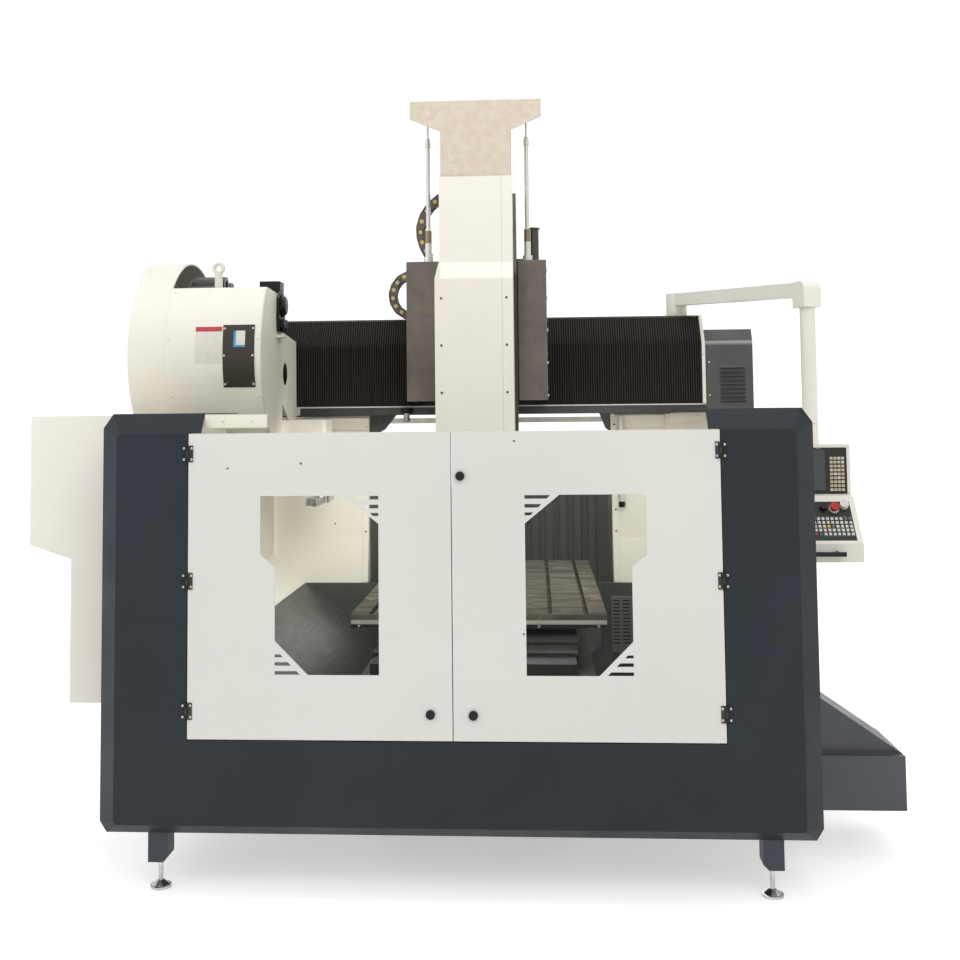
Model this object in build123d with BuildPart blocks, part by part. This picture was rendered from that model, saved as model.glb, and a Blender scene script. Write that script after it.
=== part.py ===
from build123d import *
import os
from math import cos, pi, sin, sqrt

# Double-column machining center with a moving table, all sizes in millimetres.
# X 0 is where the two front doors meet, Y 0 is the middle of the depth, Z 0 is the floor.

# Fits and gaps
running_fit = 0.05
slide_gap = 0.5
panel_gap = 4.0
sheet = 3.0

# Gantry and bed
gantry_x = 58.0
floor_gap = 60.0
bed_half = 450.0
bed_front = -1300.0
bed_back = 1265.0
bed_top = 625.0
nose_low = 330.0
nose_foot_y = -850.0
bed_wing_front = 380.0
bed_wing_back = 1120.0
bed_wing_top = 420.0
pocket_wide = 260.0
pocket_high = 200.0
pocket_deep = 70.0
pocket_pitch = 400.0
rail_pitch = 330.0
rail_wide = 45.0
rail_high = 35.0
rail_margin = 60.0
screw_r = 20.0
screw_z = 650.0
screw_channel_half = 75.0
screw_channel_deep = 70.0
bearing_long = 60.0
bearing_half = 55.0

# Columns and crossbeam
column_in = 625.0
column_out = 1060.0
column_front = 400.0
column_back = 1100.0
column_top_back = 820.0
column_knee_z = 560.0
beam_left = -1002.0
beam_right = 1118.0
beam_front = 280.0
beam_back = 800.0
beam_low = 1617.0
beam_top = 2100.0
beam_slope_z = 1950.0
beam_slope_y = 345.0
beam_rail_low = 1735.0
beam_rail_high = 1905.0
beam_channel_half = 45.0
beam_channel_deep = 60.0
strip_front = 200.0
strip_top = 1661.0
cover_knee_z = 1005.0
cover_low = 785.0
cover_high = 1612.0
cover_front = 350.0
cover_foot_y = 312.0
cover_top_y = 388.0
cover_inner = 609.0
cover_outer = 1103.0

# Table
table_half = 500.0
table_front = -900.0
table_back = 700.0
table_low = 790.0
table_top = 846.0
slot_count = 7
slot_pitch = 140.0
slot_wide = 18.0
slot_head_wide = 30.0
slot_neck = 18.0
slot_head = 14.0
body_half = 370.0
body_front = -650.0
body_back = 450.0
body_low = 700.0
carriage_half = 55.0
carriage_long = 170.0
carriage_low = 633.0
rim_low = 794.0
rim_high = 817.0
rim_proud = 3.0
screw_side = -200.0
nut_half = 50.0
nut_long = 120.0

# Telescopic way covers
cover_count = 3
cover_long = 380.0
cover_half = 384.0
cover_top = 765.0
cover_step = 12.0
cover_side_step = 8.0
cover_foot = 634.0
cover_lip = 8.0
lip_gap = 0.4
front_wall_y = -1300.0
rear_wall_y = 1265.0

# Saddle
saddle_left = -315.0
saddle_right = 352.0
saddle_low = 1683.0
saddle_top = 2348.0
guard_front = 0.0
guard_back = 194.0
slot_left = -147.0
slot_right = 217.0
plate_left = -283.0
plate_right = 320.0
plate_front = 62.0
plate_back = 236.0
plate_low = 1692.0
plate_top = 2338.0
ram_channel_half = 48.0
ram_channel_deep = 80.0
notch_left = -192.0
notch_right = -134.0
notch_low = 2105.0
rod_left = -210.0
rod_right = 264.0
rod_y = 30.0
rod_r = 11.0
cylinder_r = 23.0
cylinder_low = 1700.0
cylinder_proud = 24.0
cylinder_top = saddle_top + cylinder_proud
sleeve_r = 16.0
stop_gap = 12.0
ram_travel_down = 395.0

# Ram, its cover and the yoke
ram_x = 28.0
ram_half = 140.0
ram_front = -185.0
ram_back = 25.0
ram_low = 1500.0
ram_long = 1200.0
ram_top = ram_low + ram_long
ram_rail_pitch = 100.0
ram_rail_wide = 34.0
ram_rail_high = 26.0
ram_bore = 85.0
motor_floor = 2300.0
side_strip_left = 198.0
side_strip_right = 212.0
side_strip_front = -45.0
side_strip_top = 2660.0
spindle_y = -80.0
housing_r = 100.0
housing_low = 1440.0
spindle_r = 62.0
spindle_low = 1400.0
spindle_shaft_r = 45.0
spindle_shaft_top = 1760.0
taper_big = 22.0
taper_small = 13.0
taper_deep = 65.0
ram_cover_left = -140.0
ram_cover_right = 197.0
ram_cover_front = -200.0
ram_cover_back = 20.0
ram_cover_low = 1500.0
ram_cover_rise = 15.0
ram_cover_top = ram_top + ram_cover_rise
bulge_front = -240.0
bulge_top = 2238.0
bulge_step = 2315.0
bulge_left = -160.0
bulge_right = 197.0
yoke_left = -275.0
yoke_right = 335.0
yoke_stem_high = 230.0
yoke_slope_high = 60.0
yoke_wing_high = 85.0
yoke_rise = 60.0
yoke_waist = ram_top + yoke_stem_high
yoke_tip = yoke_waist + yoke_slope_high
yoke_top = yoke_tip + yoke_wing_high
yoke_stem_left = -134.0
yoke_stem_right = 192.0
yoke_front = -180.0
yoke_back = 55.0
rod_entry = 15.0
eye_r = 14.0
eye_high = 40.0
rod_top = yoke_waist + rod_entry
rod_low = cylinder_low + ram_travel_down + stop_gap
sleeve_top = rod_top - eye_high - ram_travel_down - stop_gap

# Energy chains
chain_wide = 56.0
chain_thick = 42.0
chain_one_y = 78.0
chain_two_y = 360.0

os.makedirs("parts", exist_ok=True)


def block(x0, x1, y0, y1, z0, z1, mode=Mode.ADD):
    """Box between two opposite corners."""
    with Locations(((x0 + x1) / 2, (y0 + y1) / 2, (z0 + z1) / 2)):
        Box(x1 - x0, y1 - y0, z1 - z0, mode=mode)


def prism_y(outline, y0, y1, mode=Mode.ADD):
    """Outline of (x, z) points, run from y0 to y1."""
    with BuildSketch(Plane.XZ.offset(-y1)) as profile:
        Polygon(*outline, align=None)
    extrude(profile.sketch, amount=y1 - y0, dir=(0, -1, 0), mode=mode)


def prism_x(outline, x0, x1, mode=Mode.ADD):
    """Outline of (y, z) points, run from x0 to x1."""
    with BuildSketch(Plane.YZ.offset(x0)) as profile:
        Polygon(*outline, align=None)
    extrude(profile.sketch, amount=x1 - x0, dir=(1, 0, 0), mode=mode)


def prism_z(outline, z0, z1, mode=Mode.ADD):
    """Outline of (x, y) points, run from z0 to z1."""
    with BuildSketch(Plane.XY.offset(z0)) as profile:
        Polygon(*outline, align=None)
    extrude(profile.sketch, amount=z1 - z0, dir=(0, 0, 1), mode=mode)


def rod_x(y, z, radius, x0, x1, mode=Mode.ADD):
    """Round bar along X."""
    with BuildSketch(Plane.YZ.offset(x0)) as profile:
        with Locations((y, z)):
            Circle(radius)
    extrude(profile.sketch, amount=x1 - x0, dir=(1, 0, 0), mode=mode)


def rod_y_bar(x, z, radius, y0, y1, mode=Mode.ADD):
    """Round bar along Y."""
    with BuildSketch(Plane.XZ.offset(-y1)) as profile:
        with Locations((x, z)):
            Circle(radius)
    extrude(profile.sketch, amount=y1 - y0, dir=(0, -1, 0), mode=mode)


def rod_z(x, y, radius, z0, z1, mode=Mode.ADD):
    """Round bar along Z."""
    with BuildSketch(Plane.XY.offset(z0)) as profile:
        with Locations((x, y)):
            Circle(radius)
    extrude(profile.sketch, amount=z1 - z0, dir=(0, 0, 1), mode=mode)


def save(builder, name):
    """Label a finished piece and write it."""
    builder.part.label = name
    export_step(builder.part, "parts/" + name + ".step")


# Machine bed with a raked nose, side wings under the columns and a channel for the table screw
bed_outline = [
    (bed_front, nose_low),
    (nose_foot_y, floor_gap),
    (bed_back, floor_gap),
    (bed_back, bed_top),
    (bed_front, bed_top),
]
pocket_z = (floor_gap + bed_top) / 2
pocket_count = 3
with BuildPart() as machine_bed:
    prism_x(bed_outline, gantry_x - bed_half, gantry_x + bed_half)
    block(
        gantry_x - column_in,
        gantry_x + column_in,
        bed_wing_front,
        bed_wing_back,
        floor_gap,
        bed_wing_top,
    )
    block(
        gantry_x - screw_channel_half,
        gantry_x + screw_channel_half,
        bed_front + bearing_long,
        bed_back - bearing_long,
        bed_top - screw_channel_deep,
        bed_top,
        Mode.SUBTRACT,
    )
    for side in (-1, 1):
        x_pocket = gantry_x + side * (bed_half - pocket_deep / 2)
        with Locations((x_pocket, (bed_front + bed_wing_front) / 2, pocket_z)):
            with GridLocations(0, pocket_pitch, 1, pocket_count):
                Box(pocket_deep, pocket_wide, pocket_high, mode=Mode.SUBTRACT)
save(machine_bed, "machine_bed")

# Guide rails of the table and of the saddle
with BuildPart() as linear_rails:
    for side in (-1, 1):
        rail_x = gantry_x + side * rail_pitch
        block(
            rail_x - rail_wide / 2,
            rail_x + rail_wide / 2,
            bed_front + rail_margin,
            bed_back - rail_margin,
            bed_top,
            bed_top + rail_high,
        )
    for rail_z in (beam_rail_low, beam_rail_high):
        block(
            beam_left + rail_margin,
            beam_right - rail_margin,
            beam_front - rail_high,
            beam_front,
            rail_z - rail_wide / 2,
            rail_z + rail_wide / 2,
        )
save(linear_rails, "linear_rails")

# Levelling feet under the bed and the columns
foot_r = 50.0
foot_high = 22.0
foot_stem_r = 16.0
foot_nut_r = 26.0
foot_nut_high = 14.0
bed_foot_x = 380.0
bed_foot_ys = (-780.0, -280.0, 220.0, 1200.0)
column_foot_x = 950.0
column_foot_ys = (480.0, 1020.0)
foot_places = []
for side in (-1, 1):
    foot_places += [(gantry_x + side * bed_foot_x, y) for y in bed_foot_ys]
    foot_places += [(gantry_x + side * column_foot_x, y) for y in column_foot_ys]
with BuildPart() as levelling_feet:
    for foot_x, foot_y in foot_places:
        rod_z(foot_x, foot_y, foot_r, 0, foot_high)
        rod_z(foot_x, foot_y, foot_stem_r, foot_high, floor_gap)
        rod_z(foot_x, foot_y, foot_nut_r, floor_gap - foot_nut_high, floor_gap)
save(levelling_feet, "levelling_feet")

# Ball screws of the table and of the saddle, with their end bearings
screw_beam_z = (beam_rail_low + beam_rail_high) / 2
screw_beam_y = beam_front
with BuildPart() as ball_screws:
    rod_y_bar(gantry_x, screw_z, screw_r, bed_front + rail_margin, bed_back)
    for y in (bed_front + rail_margin, bed_back - bearing_long):
        block(
            gantry_x - bearing_half,
            gantry_x + bearing_half,
            y,
            y + bearing_long,
            bed_top if y > 0 else bed_top - screw_channel_deep,
            screw_z + bearing_half / 2,
        )
    rod_x(screw_beam_y, screw_beam_z, screw_r, beam_left + rail_margin, beam_right)
    for x in (beam_left + rail_margin, beam_right - rail_margin - bearing_long):
        block(
            x,
            x + bearing_long,
            beam_front - rail_high,
            beam_front + beam_channel_deep,
            screw_beam_z - beam_channel_half,
            screw_beam_z + beam_channel_half,
        )
save(ball_screws, "ball_screws")

# Columns, tapered at the back, with a lightening pocket in each outer side
column_outline = [
    (column_front, floor_gap),
    (column_back, floor_gap),
    (column_back, column_knee_z),
    (column_top_back, beam_low),
    (column_front, beam_low),
]
column_pocket_deep = 60.0
column_pocket = [
    (column_front + 90.0, 700.0),
    (column_back - 200.0, 700.0),
    (column_top_back - 90.0, beam_low - 160.0),
    (column_front + 90.0, beam_low - 160.0),
]
column_foot_high = 50.0
column_foot_proud = 45.0
with BuildPart() as columns:
    for side in (-1, 1):
        x_in = gantry_x + side * column_in
        x_out = gantry_x + side * column_out
        prism_x(column_outline, min(x_in, x_out), max(x_in, x_out))
        x_foot = x_out + side * column_foot_proud
        block(
            min(x_out, x_foot),
            max(x_out, x_foot),
            column_front,
            column_back,
            floor_gap,
            floor_gap + column_foot_high,
        )
        x_pocket = x_out - side * column_pocket_deep
        prism_x(column_pocket, min(x_out, x_pocket), max(x_out, x_pocket), Mode.SUBTRACT)
save(columns, "columns")

# Sheet covers in front of the columns, reaching forward below the knee and leaning back above it
column_cover_outline = [
    (cover_foot_y, cover_low),
    (cover_front, cover_knee_z),
    (cover_top_y, cover_high),
    (cover_top_y + sheet, cover_high),
    (cover_front + sheet, cover_knee_z),
    (cover_foot_y + sheet, cover_low),
]
column_cover_side = [
    (cover_foot_y, cover_low),
    (cover_front, cover_knee_z),
    (cover_top_y, cover_high),
    (column_front, cover_high),
    (column_front, cover_low),
]
with BuildPart() as column_covers:
    for side in (-1, 1):
        x_in = gantry_x + side * cover_inner
        x_out = gantry_x + side * cover_outer
        prism_x(column_cover_outline, min(x_in, x_out), max(x_in, x_out))
        for x_side in (x_in, x_out - side * sheet):
            prism_x(
                column_cover_side,
                min(x_side, x_side + side * sheet),
                max(x_side, x_side + side * sheet),
            )
        for z, y in ((cover_low, cover_foot_y + sheet / 2), (cover_high - sheet, cover_top_y)):
            block(min(x_in, x_out), max(x_in, x_out), y, column_front, z, z + sheet)
save(column_covers, "column_covers")

# Crossbeam with a sloped top edge, a screw channel and the lower guard strip
beam_outline = [
    (beam_front, beam_low),
    (beam_back, beam_low),
    (beam_back, beam_top),
    (beam_slope_y, beam_top),
    (beam_front, beam_slope_z),
]
beam_pocket_wide = 300.0
beam_pocket_high = 280.0
beam_pocket_deep = 80.0
beam_pocket_pitch = 400.0
beam_pocket_count = 5
with BuildPart() as crossbeam:
    prism_x(beam_outline, beam_left, beam_right)
    block(
        beam_left + rail_margin,
        beam_right,
        beam_front,
        beam_front + beam_channel_deep,
        screw_beam_z - beam_channel_half,
        screw_beam_z + beam_channel_half,
        Mode.SUBTRACT,
    )
    block(beam_left, beam_right, strip_front, beam_front, beam_low, strip_top)
    with Locations((gantry_x, beam_back - beam_pocket_deep / 2, (beam_low + beam_top) / 2)):
        with GridLocations(beam_pocket_pitch, 0, beam_pocket_count, 1):
            Box(beam_pocket_wide, beam_pocket_deep, beam_pocket_high, mode=Mode.SUBTRACT)
save(crossbeam, "crossbeam")

# Table with T-slots, a body below, four carriages and the nut of its screw
slot_span = slot_pitch * (slot_count - 1)
with BuildPart() as table:
    block(
        gantry_x - table_half,
        gantry_x + table_half,
        table_front,
        table_back,
        table_low,
        table_top,
    )
    block(
        gantry_x - table_half,
        gantry_x + table_half,
        table_front - rim_proud,
        table_front,
        rim_low,
        rim_high,
    )
    for i in range(slot_count):
        slot_x = gantry_x - slot_span / 2 + i * slot_pitch
        block(
            slot_x - slot_wide / 2,
            slot_x + slot_wide / 2,
            table_front,
            table_back,
            table_top - slot_neck,
            table_top,
            Mode.SUBTRACT,
        )
        block(
            slot_x - slot_head_wide / 2,
            slot_x + slot_head_wide / 2,
            table_front,
            table_back,
            table_top - slot_neck - slot_head,
            table_top - slot_neck,
            Mode.SUBTRACT,
        )
    block(
        gantry_x - body_half,
        gantry_x + body_half,
        body_front,
        body_back,
        body_low,
        table_low,
    )
    for side in (-1, 1):
        for y in (body_front, body_back - carriage_long):
            x_mid = gantry_x + side * rail_pitch
            block(
                x_mid - carriage_half,
                x_mid + carriage_half,
                y,
                y + carriage_long,
                carriage_low,
                body_low,
            )
        block(
            x_mid - rail_wide / 2 - slide_gap,
            x_mid + rail_wide / 2 + slide_gap,
            body_front,
            body_back,
            carriage_low,
            bed_top + rail_high + slide_gap,
            Mode.SUBTRACT,
        )
    block(
        gantry_x - nut_half,
        gantry_x + nut_half,
        screw_side,
        screw_side + nut_long,
        bed_top - screw_channel_deep + panel_gap,
        body_low,
    )
    rod_y_bar(
        gantry_x,
        screw_z,
        screw_r + slide_gap,
        screw_side,
        screw_side + nut_long,
        Mode.SUBTRACT,
    )
save(table, "table")


def way_cover(i, y0, y1, lip_at):
    """Folded sheet of the i-th telescopic cover, with a wiper lip at one end."""
    half = cover_half - i * cover_side_step
    top = cover_top - i * cover_step
    block(gantry_x - half, gantry_x + half, y0, y1, top - sheet, top)
    for side in (-1, 1):
        x_out = gantry_x + side * half
        x_in = x_out - side * sheet
        block(min(x_in, x_out), max(x_in, x_out), y0, y1, cover_foot, top)
    if i < cover_count - 1:
        y_lip = lip_at if lip_at == y0 else y1 - cover_lip
        block(
            gantry_x - half,
            gantry_x + half,
            y_lip,
            y_lip + cover_lip,
            top - cover_step + lip_gap,
            top,
        )


# Telescopic way covers: the highest pair rides with the table, the lowest pair is fixed to the bed
front_outer = body_front - cover_long
rear_outer = body_back + cover_long
front_middle = (body_front + front_wall_y) / 2
rear_middle = (body_back + rear_wall_y) / 2
with BuildPart() as way_covers_upper:
    way_cover(0, front_outer, body_front, front_outer)
    way_cover(0, body_back, rear_outer, rear_outer)
save(way_covers_upper, "way_covers_upper")

with BuildPart() as way_cover_front_middle:
    way_cover(1, front_middle - cover_long / 2, front_middle + cover_long / 2, front_middle - cover_long / 2)
save(way_cover_front_middle, "way_cover_front_middle")

with BuildPart() as way_cover_rear_middle:
    way_cover(1, rear_middle - cover_long / 2, rear_middle + cover_long / 2, rear_middle + cover_long / 2)
save(way_cover_rear_middle, "way_cover_rear_middle")

low_half = cover_half - (cover_count - 1) * cover_side_step
low_top = cover_top - (cover_count - 1) * cover_step
with BuildPart() as way_covers_lower:
    for y0, y1, y_end in (
        (front_wall_y, front_wall_y + cover_long, front_wall_y),
        (rear_wall_y - cover_long, rear_wall_y, rear_wall_y - cover_lip),
    ):
        way_cover(cover_count - 1, y0, y1, y0)
        block(
            gantry_x - low_half,
            gantry_x + low_half,
            y_end,
            y_end + cover_lip,
            bed_top,
            low_top,
        )
        block(
            gantry_x - bearing_half - slide_gap,
            gantry_x + bearing_half + slide_gap,
            y_end,
            y_end + cover_lip,
            bed_top,
            screw_z + bearing_half / 2 + slide_gap,
            Mode.SUBTRACT,
        )
save(way_covers_lower, "way_covers_lower")

# Saddle plate with carriages on the beam rails, carriages for the ram and a channel for the ram screw
carriage_grip = 14.0
beam_carriage_wide = 180.0
beam_carriage_half = 34.0
ram_carriage_half = 30.0
ram_carriage_high = 160.0
ram_carriage_zs = (1720.0, 2140.0)
ram_motor_half = 60.0
side_motor_x = 291.0
side_motor_y = 165.0
side_motor_r = 28.0
side_motor_top = 2524.0
side_motor_base = 2362.0
bracket_left = -333.0
bracket_low = 2150.0
bracket_thick = 16.0
rail_front_y = beam_front - rail_high
with BuildPart() as saddle:
    block(plate_left, plate_right, plate_front, plate_back, plate_low, plate_top)
    block(
        ram_x - ram_channel_half,
        ram_x + ram_channel_half,
        plate_front,
        plate_front + ram_channel_deep,
        plate_low,
        plate_top,
        Mode.SUBTRACT,
    )
    block(
        notch_left,
        notch_right,
        plate_front,
        plate_back,
        notch_low,
        plate_top,
        Mode.SUBTRACT,
    )
    for rail_z in (beam_rail_low, beam_rail_high):
        for x0 in (plate_left, plate_right - beam_carriage_wide):
            block(
                x0,
                x0 + beam_carriage_wide,
                plate_back,
                beam_front - carriage_grip,
                rail_z - beam_carriage_half,
                rail_z + beam_carriage_half,
            )
        block(
            plate_left,
            plate_right,
            rail_front_y - slide_gap,
            beam_front,
            rail_z - rail_wide / 2 - slide_gap,
            rail_z + rail_wide / 2 + slide_gap,
            Mode.SUBTRACT,
        )
    block(
        ram_x - nut_half,
        ram_x + nut_half,
        plate_back,
        screw_beam_y + screw_r + panel_gap,
        screw_beam_z - beam_channel_half + panel_gap,
        screw_beam_z + beam_channel_half - panel_gap,
    )
    rod_x(
        screw_beam_y,
        screw_beam_z,
        screw_r + slide_gap,
        ram_x - nut_half,
        ram_x + nut_half,
        Mode.SUBTRACT,
    )
    for side in (-1, 1):
        x_mid = ram_x + side * ram_rail_pitch
        for z in ram_carriage_zs:
            block(
                x_mid - ram_carriage_half,
                x_mid + ram_carriage_half,
                ram_back + carriage_grip / 2,
                plate_front,
                z,
                z + ram_carriage_high,
            )
        block(
            x_mid - ram_rail_wide / 2 - slide_gap,
            x_mid + ram_rail_wide / 2 + slide_gap,
            ram_back,
            ram_back + ram_rail_high + slide_gap,
            plate_low,
            plate_top,
            Mode.SUBTRACT,
        )
    block(
        bracket_left,
        bracket_left + bracket_thick,
        guard_back + panel_gap,
        chain_two_y + chain_wide,
        bracket_low,
        plate_top,
    )
    block(
        bracket_left,
        plate_left,
        guard_back + panel_gap,
        plate_back,
        bracket_low,
        bracket_low + bracket_thick,
    )
save(saddle, "saddle")

# Drive of the ram on top of the saddle, with its upright screw
ram_screw_y = plate_front + ram_channel_deep / 2
ram_screw_r = 16.0
motor_lid = 6.0
with BuildPart() as ram_drive:
    rod_z(ram_x, ram_screw_y, ram_screw_r, plate_low, plate_top)
    for z in (plate_low, plate_top - bearing_long / 2):
        block(
            ram_x - ram_channel_half,
            ram_x + ram_channel_half,
            plate_front + panel_gap,
            plate_front + ram_channel_deep,
            z,
            z + bearing_long / 2,
        )
    block(
        ram_x - ram_motor_half,
        side_motor_x + side_motor_r,
        plate_front + panel_gap,
        plate_back - panel_gap,
        plate_top,
        side_motor_base,
    )
    rod_z(side_motor_x, side_motor_y, side_motor_r, side_motor_base, side_motor_top - motor_lid)
    rod_z(side_motor_x, side_motor_y, side_motor_r + motor_lid, side_motor_top - motor_lid, side_motor_top)
save(ram_drive, "ram_drive")

# Sheet guards of the saddle, left and right of the ram slot
guard_screw_r = 5.0
guard_screw_proud = 2.0
guard_screw_zs = (1740.0, 1900.0, 2060.0)
side_wall_inner = 58.0
guard_lug = 30.0
guard_lug_y = 110.0
guard_lug_zs = (1780.0, 2220.0)
with BuildPart() as saddle_guards:
    for x0, x1, x_plate in ((saddle_left, slot_left, plate_left), (slot_right, saddle_right, plate_right)):
        block(x0, x1, guard_front, guard_back, saddle_low, saddle_top)
        block(
            x0 + sheet,
            x1 - sheet,
            guard_front + sheet,
            guard_back,
            saddle_low + sheet,
            saddle_top - sheet,
            Mode.SUBTRACT,
        )
        x_cut = (x_plate, x1) if x1 < 0 else (x0, x_plate)
        block(
            x_cut[0] - sheet if x1 < 0 else x_cut[0],
            x_cut[1] if x1 < 0 else x_cut[1] + sheet,
            side_wall_inner,
            guard_back,
            saddle_low,
            saddle_top,
            Mode.SUBTRACT,
        )
    for x0, x1 in ((saddle_left + sheet, plate_left), (plate_right, saddle_right - sheet)):
        for z in guard_lug_zs:
            block(x0, x1, guard_lug_y, guard_lug_y + guard_lug, z, z + guard_lug)
    for x_rod in (rod_left, rod_right):
        rod_z(x_rod, rod_y, cylinder_r + slide_gap, saddle_top - sheet, saddle_top, Mode.SUBTRACT)
    for z in guard_screw_zs:
        rod_x(
            guard_front + sheet + 2 * guard_screw_r,
            z,
            guard_screw_r,
            saddle_right,
            saddle_right + guard_screw_proud,
        )
save(saddle_guards, "saddle_guards")

# Counterbalance cylinders standing inside the guards
cylinder_foot = 10.0
with BuildPart() as counterbalance_cylinders:
    for x_rod in (rod_left, rod_right):
        rod_z(x_rod, rod_y, cylinder_r, cylinder_low, cylinder_top)
        rod_z(x_rod, rod_y, sleeve_r, cylinder_top, sleeve_top)
        block(
            x_rod - cylinder_r,
            x_rod + cylinder_r,
            rod_y - cylinder_r,
            plate_front,
            cylinder_low - cylinder_foot,
            cylinder_low,
        )
        rod_z(x_rod, rod_y, rod_r + running_fit, rod_low - ram_travel_down, sleeve_top, Mode.SUBTRACT)
save(counterbalance_cylinders, "counterbalance_cylinders")


def chain(points, y0):
    """Energy chain: full-width links joined by narrower necks, along a curve of (x, z) points."""
    for (xa, za), (xb, zb) in zip(points, points[1:]):
        run = sqrt((xb - xa) ** 2 + (zb - za) ** 2)
        ux = (xb - xa) / run
        uz = (zb - za) / run
        for half, cut, inset in ((chain_thick / 2, run * link_gap, 0), (chain_thick / 4, 0, link_inset)):
            ax = xa + ux * cut
            az = za + uz * cut
            bx = xb - ux * cut
            bz = zb - uz * cut
            outline = [
                (ax - uz * half, az + ux * half),
                (bx - uz * half, bz + ux * half),
                (bx + uz * half, bz - ux * half),
                (ax + uz * half, az - ux * half),
            ]
            prism_y(outline, y0 + inset, y0 + chain_wide - inset)


# Energy chain between ram and saddle, and the one between saddle and crossbeam
link_gap = 0.14
link_inset = 8.0
chain_one = [
    (-158.0, 2668.0),
    (-205.0, 2630.0),
    (-238.0, 2580.0),
    (-254.0, 2527.0),
    (-252.0, 2475.0),
    (-238.0, 2430.0),
    (-218.0, 2392.0),
]
chain_two = [
    (-343.0, 2330.0),
    (-388.0, 2306.0),
    (-414.0, 2272.0),
    (-426.0, 2230.0),
    (-420.0, 2188.0),
    (-398.0, 2150.0),
    (-362.0, 2126.0),
    (-316.0, 2122.5),
    (-268.0, 2122.5),
    (-220.0, 2122.5),
    (-172.0, 2122.5),
]
chain_foot = 12.0
with BuildPart() as ram_chain:
    chain(chain_one, chain_one_y)
    block(
        chain_one[-1][0] - chain_thick / 3,
        chain_one[-1][0] + chain_thick / 3,
        chain_one_y,
        chain_one_y + chain_wide,
        plate_top,
        chain_one[-1][1],
    )
save(ram_chain, "ram_chain")

with BuildPart() as saddle_chain:
    chain(chain_two, chain_two_y)
    block(
        bracket_left - chain_foot,
        bracket_left,
        chain_two_y,
        chain_two_y + chain_wide,
        chain_two[0][1] - chain_thick,
        chain_two[0][1],
    )
save(saddle_chain, "saddle_chain")

# Ram body with guide rails, screw nut and chain bracket at the back, and a bore for the motor and spindle
nut_top = 2258.0
nut_high = 48.0
nut_wide = 36.0
chain_plate = 4.0
chain_plate_low = 2625.0
chain_plate_high = 2690.0
shaft_bore_top = spindle_shaft_top + panel_gap
motor_r = 80.0
motor_top = 2640.0
pad_half = 80.0
pad_high = 40.0
pad_low_z = 1620.0
pad_high_z = 2420.0
ram_corner = 12.0
with BuildPart() as ram:
    block(ram_x - ram_half, ram_x + ram_half, ram_front, ram_back, ram_low, ram_top)
    fillet(ram.edges().filter_by(Axis.Z), radius=ram_corner)
    for side in (-1, 1):
        x_mid = ram_x + side * ram_rail_pitch
        block(
            x_mid - ram_rail_wide / 2,
            x_mid + ram_rail_wide / 2,
            ram_back,
            ram_back + ram_rail_high,
            ram_low,
            ram_top,
        )
    block(
        ram_x + ram_half,
        side_strip_left,
        side_strip_front,
        ram_back - ram_rail_high,
        ram_low,
        side_strip_top,
    )
    block(
        side_strip_left,
        side_strip_right,
        side_strip_front,
        yoke_back,
        housing_low,
        side_strip_top,
    )
    block(
        ram_x - nut_wide,
        ram_x + nut_wide,
        ram_back,
        ram_screw_y + ram_screw_r + panel_gap,
        nut_top - nut_high,
        nut_top,
    )
    rod_z(ram_x, ram_screw_y, ram_screw_r + slide_gap, nut_top - nut_high, nut_top, Mode.SUBTRACT)
    for y_pad, z_pad in ((bulge_front + sheet, pad_low_z), (ram_cover_front + sheet, pad_high_z)):
        block(ram_x - pad_half, ram_x + pad_half, y_pad, ram_front, z_pad, z_pad + pad_high)
    rod_z(ram_x, spindle_y, housing_r, housing_low, ram_low)
    rod_z(ram_x, spindle_y, spindle_shaft_r + running_fit, housing_low, shaft_bore_top, Mode.SUBTRACT)
    rod_z(ram_x, spindle_y, ram_bore, motor_floor, ram_top, Mode.SUBTRACT)
    block(
        ram_cover_left - chain_plate,
        ram_cover_left,
        ram_cover_front + ram_half,
        chain_one_y + chain_wide,
        chain_plate_low,
        chain_plate_high,
    )
    block(
        ram_cover_left,
        ram_x - ram_half,
        ram_cover_front + ram_half,
        ram_cover_back,
        chain_plate_low,
        chain_plate_high,
    )
save(ram, "ram")

# Spindle motor in the top of the ram
motor_chamfer = 8.0
with BuildPart() as spindle_motor:
    rod_z(ram_x, spindle_y, motor_r, motor_floor, motor_top)
    chamfer(spindle_motor.edges().group_by(Axis.Z)[-1], length=motor_chamfer)
save(spindle_motor, "spindle_motor")

# Spindle: nose with drive keys, shaft and tapered tool socket
key_wide = 16.0
key_high = 8.0
nose_chamfer = 6.0
with BuildPart() as spindle:
    rod_z(ram_x, spindle_y, spindle_r, spindle_low, housing_low - slide_gap)
    chamfer(spindle.edges().group_by(Axis.Z)[0], length=nose_chamfer)
    rod_z(ram_x, spindle_y, spindle_shaft_r, housing_low - slide_gap, spindle_shaft_top)
    with Locations((ram_x, spindle_y, spindle_low + taper_deep / 2)):
        Cone(taper_big, taper_small, taper_deep, mode=Mode.SUBTRACT)
    for side in (-1, 1):
        x_key = ram_x + side * (taper_big + spindle_r) / 2
        block(
            x_key - key_wide / 2,
            x_key + key_wide / 2,
            spindle_y - key_wide / 2,
            spindle_y + key_wide / 2,
            spindle_low - key_high,
            spindle_low,
        )
save(spindle, "spindle")

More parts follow.
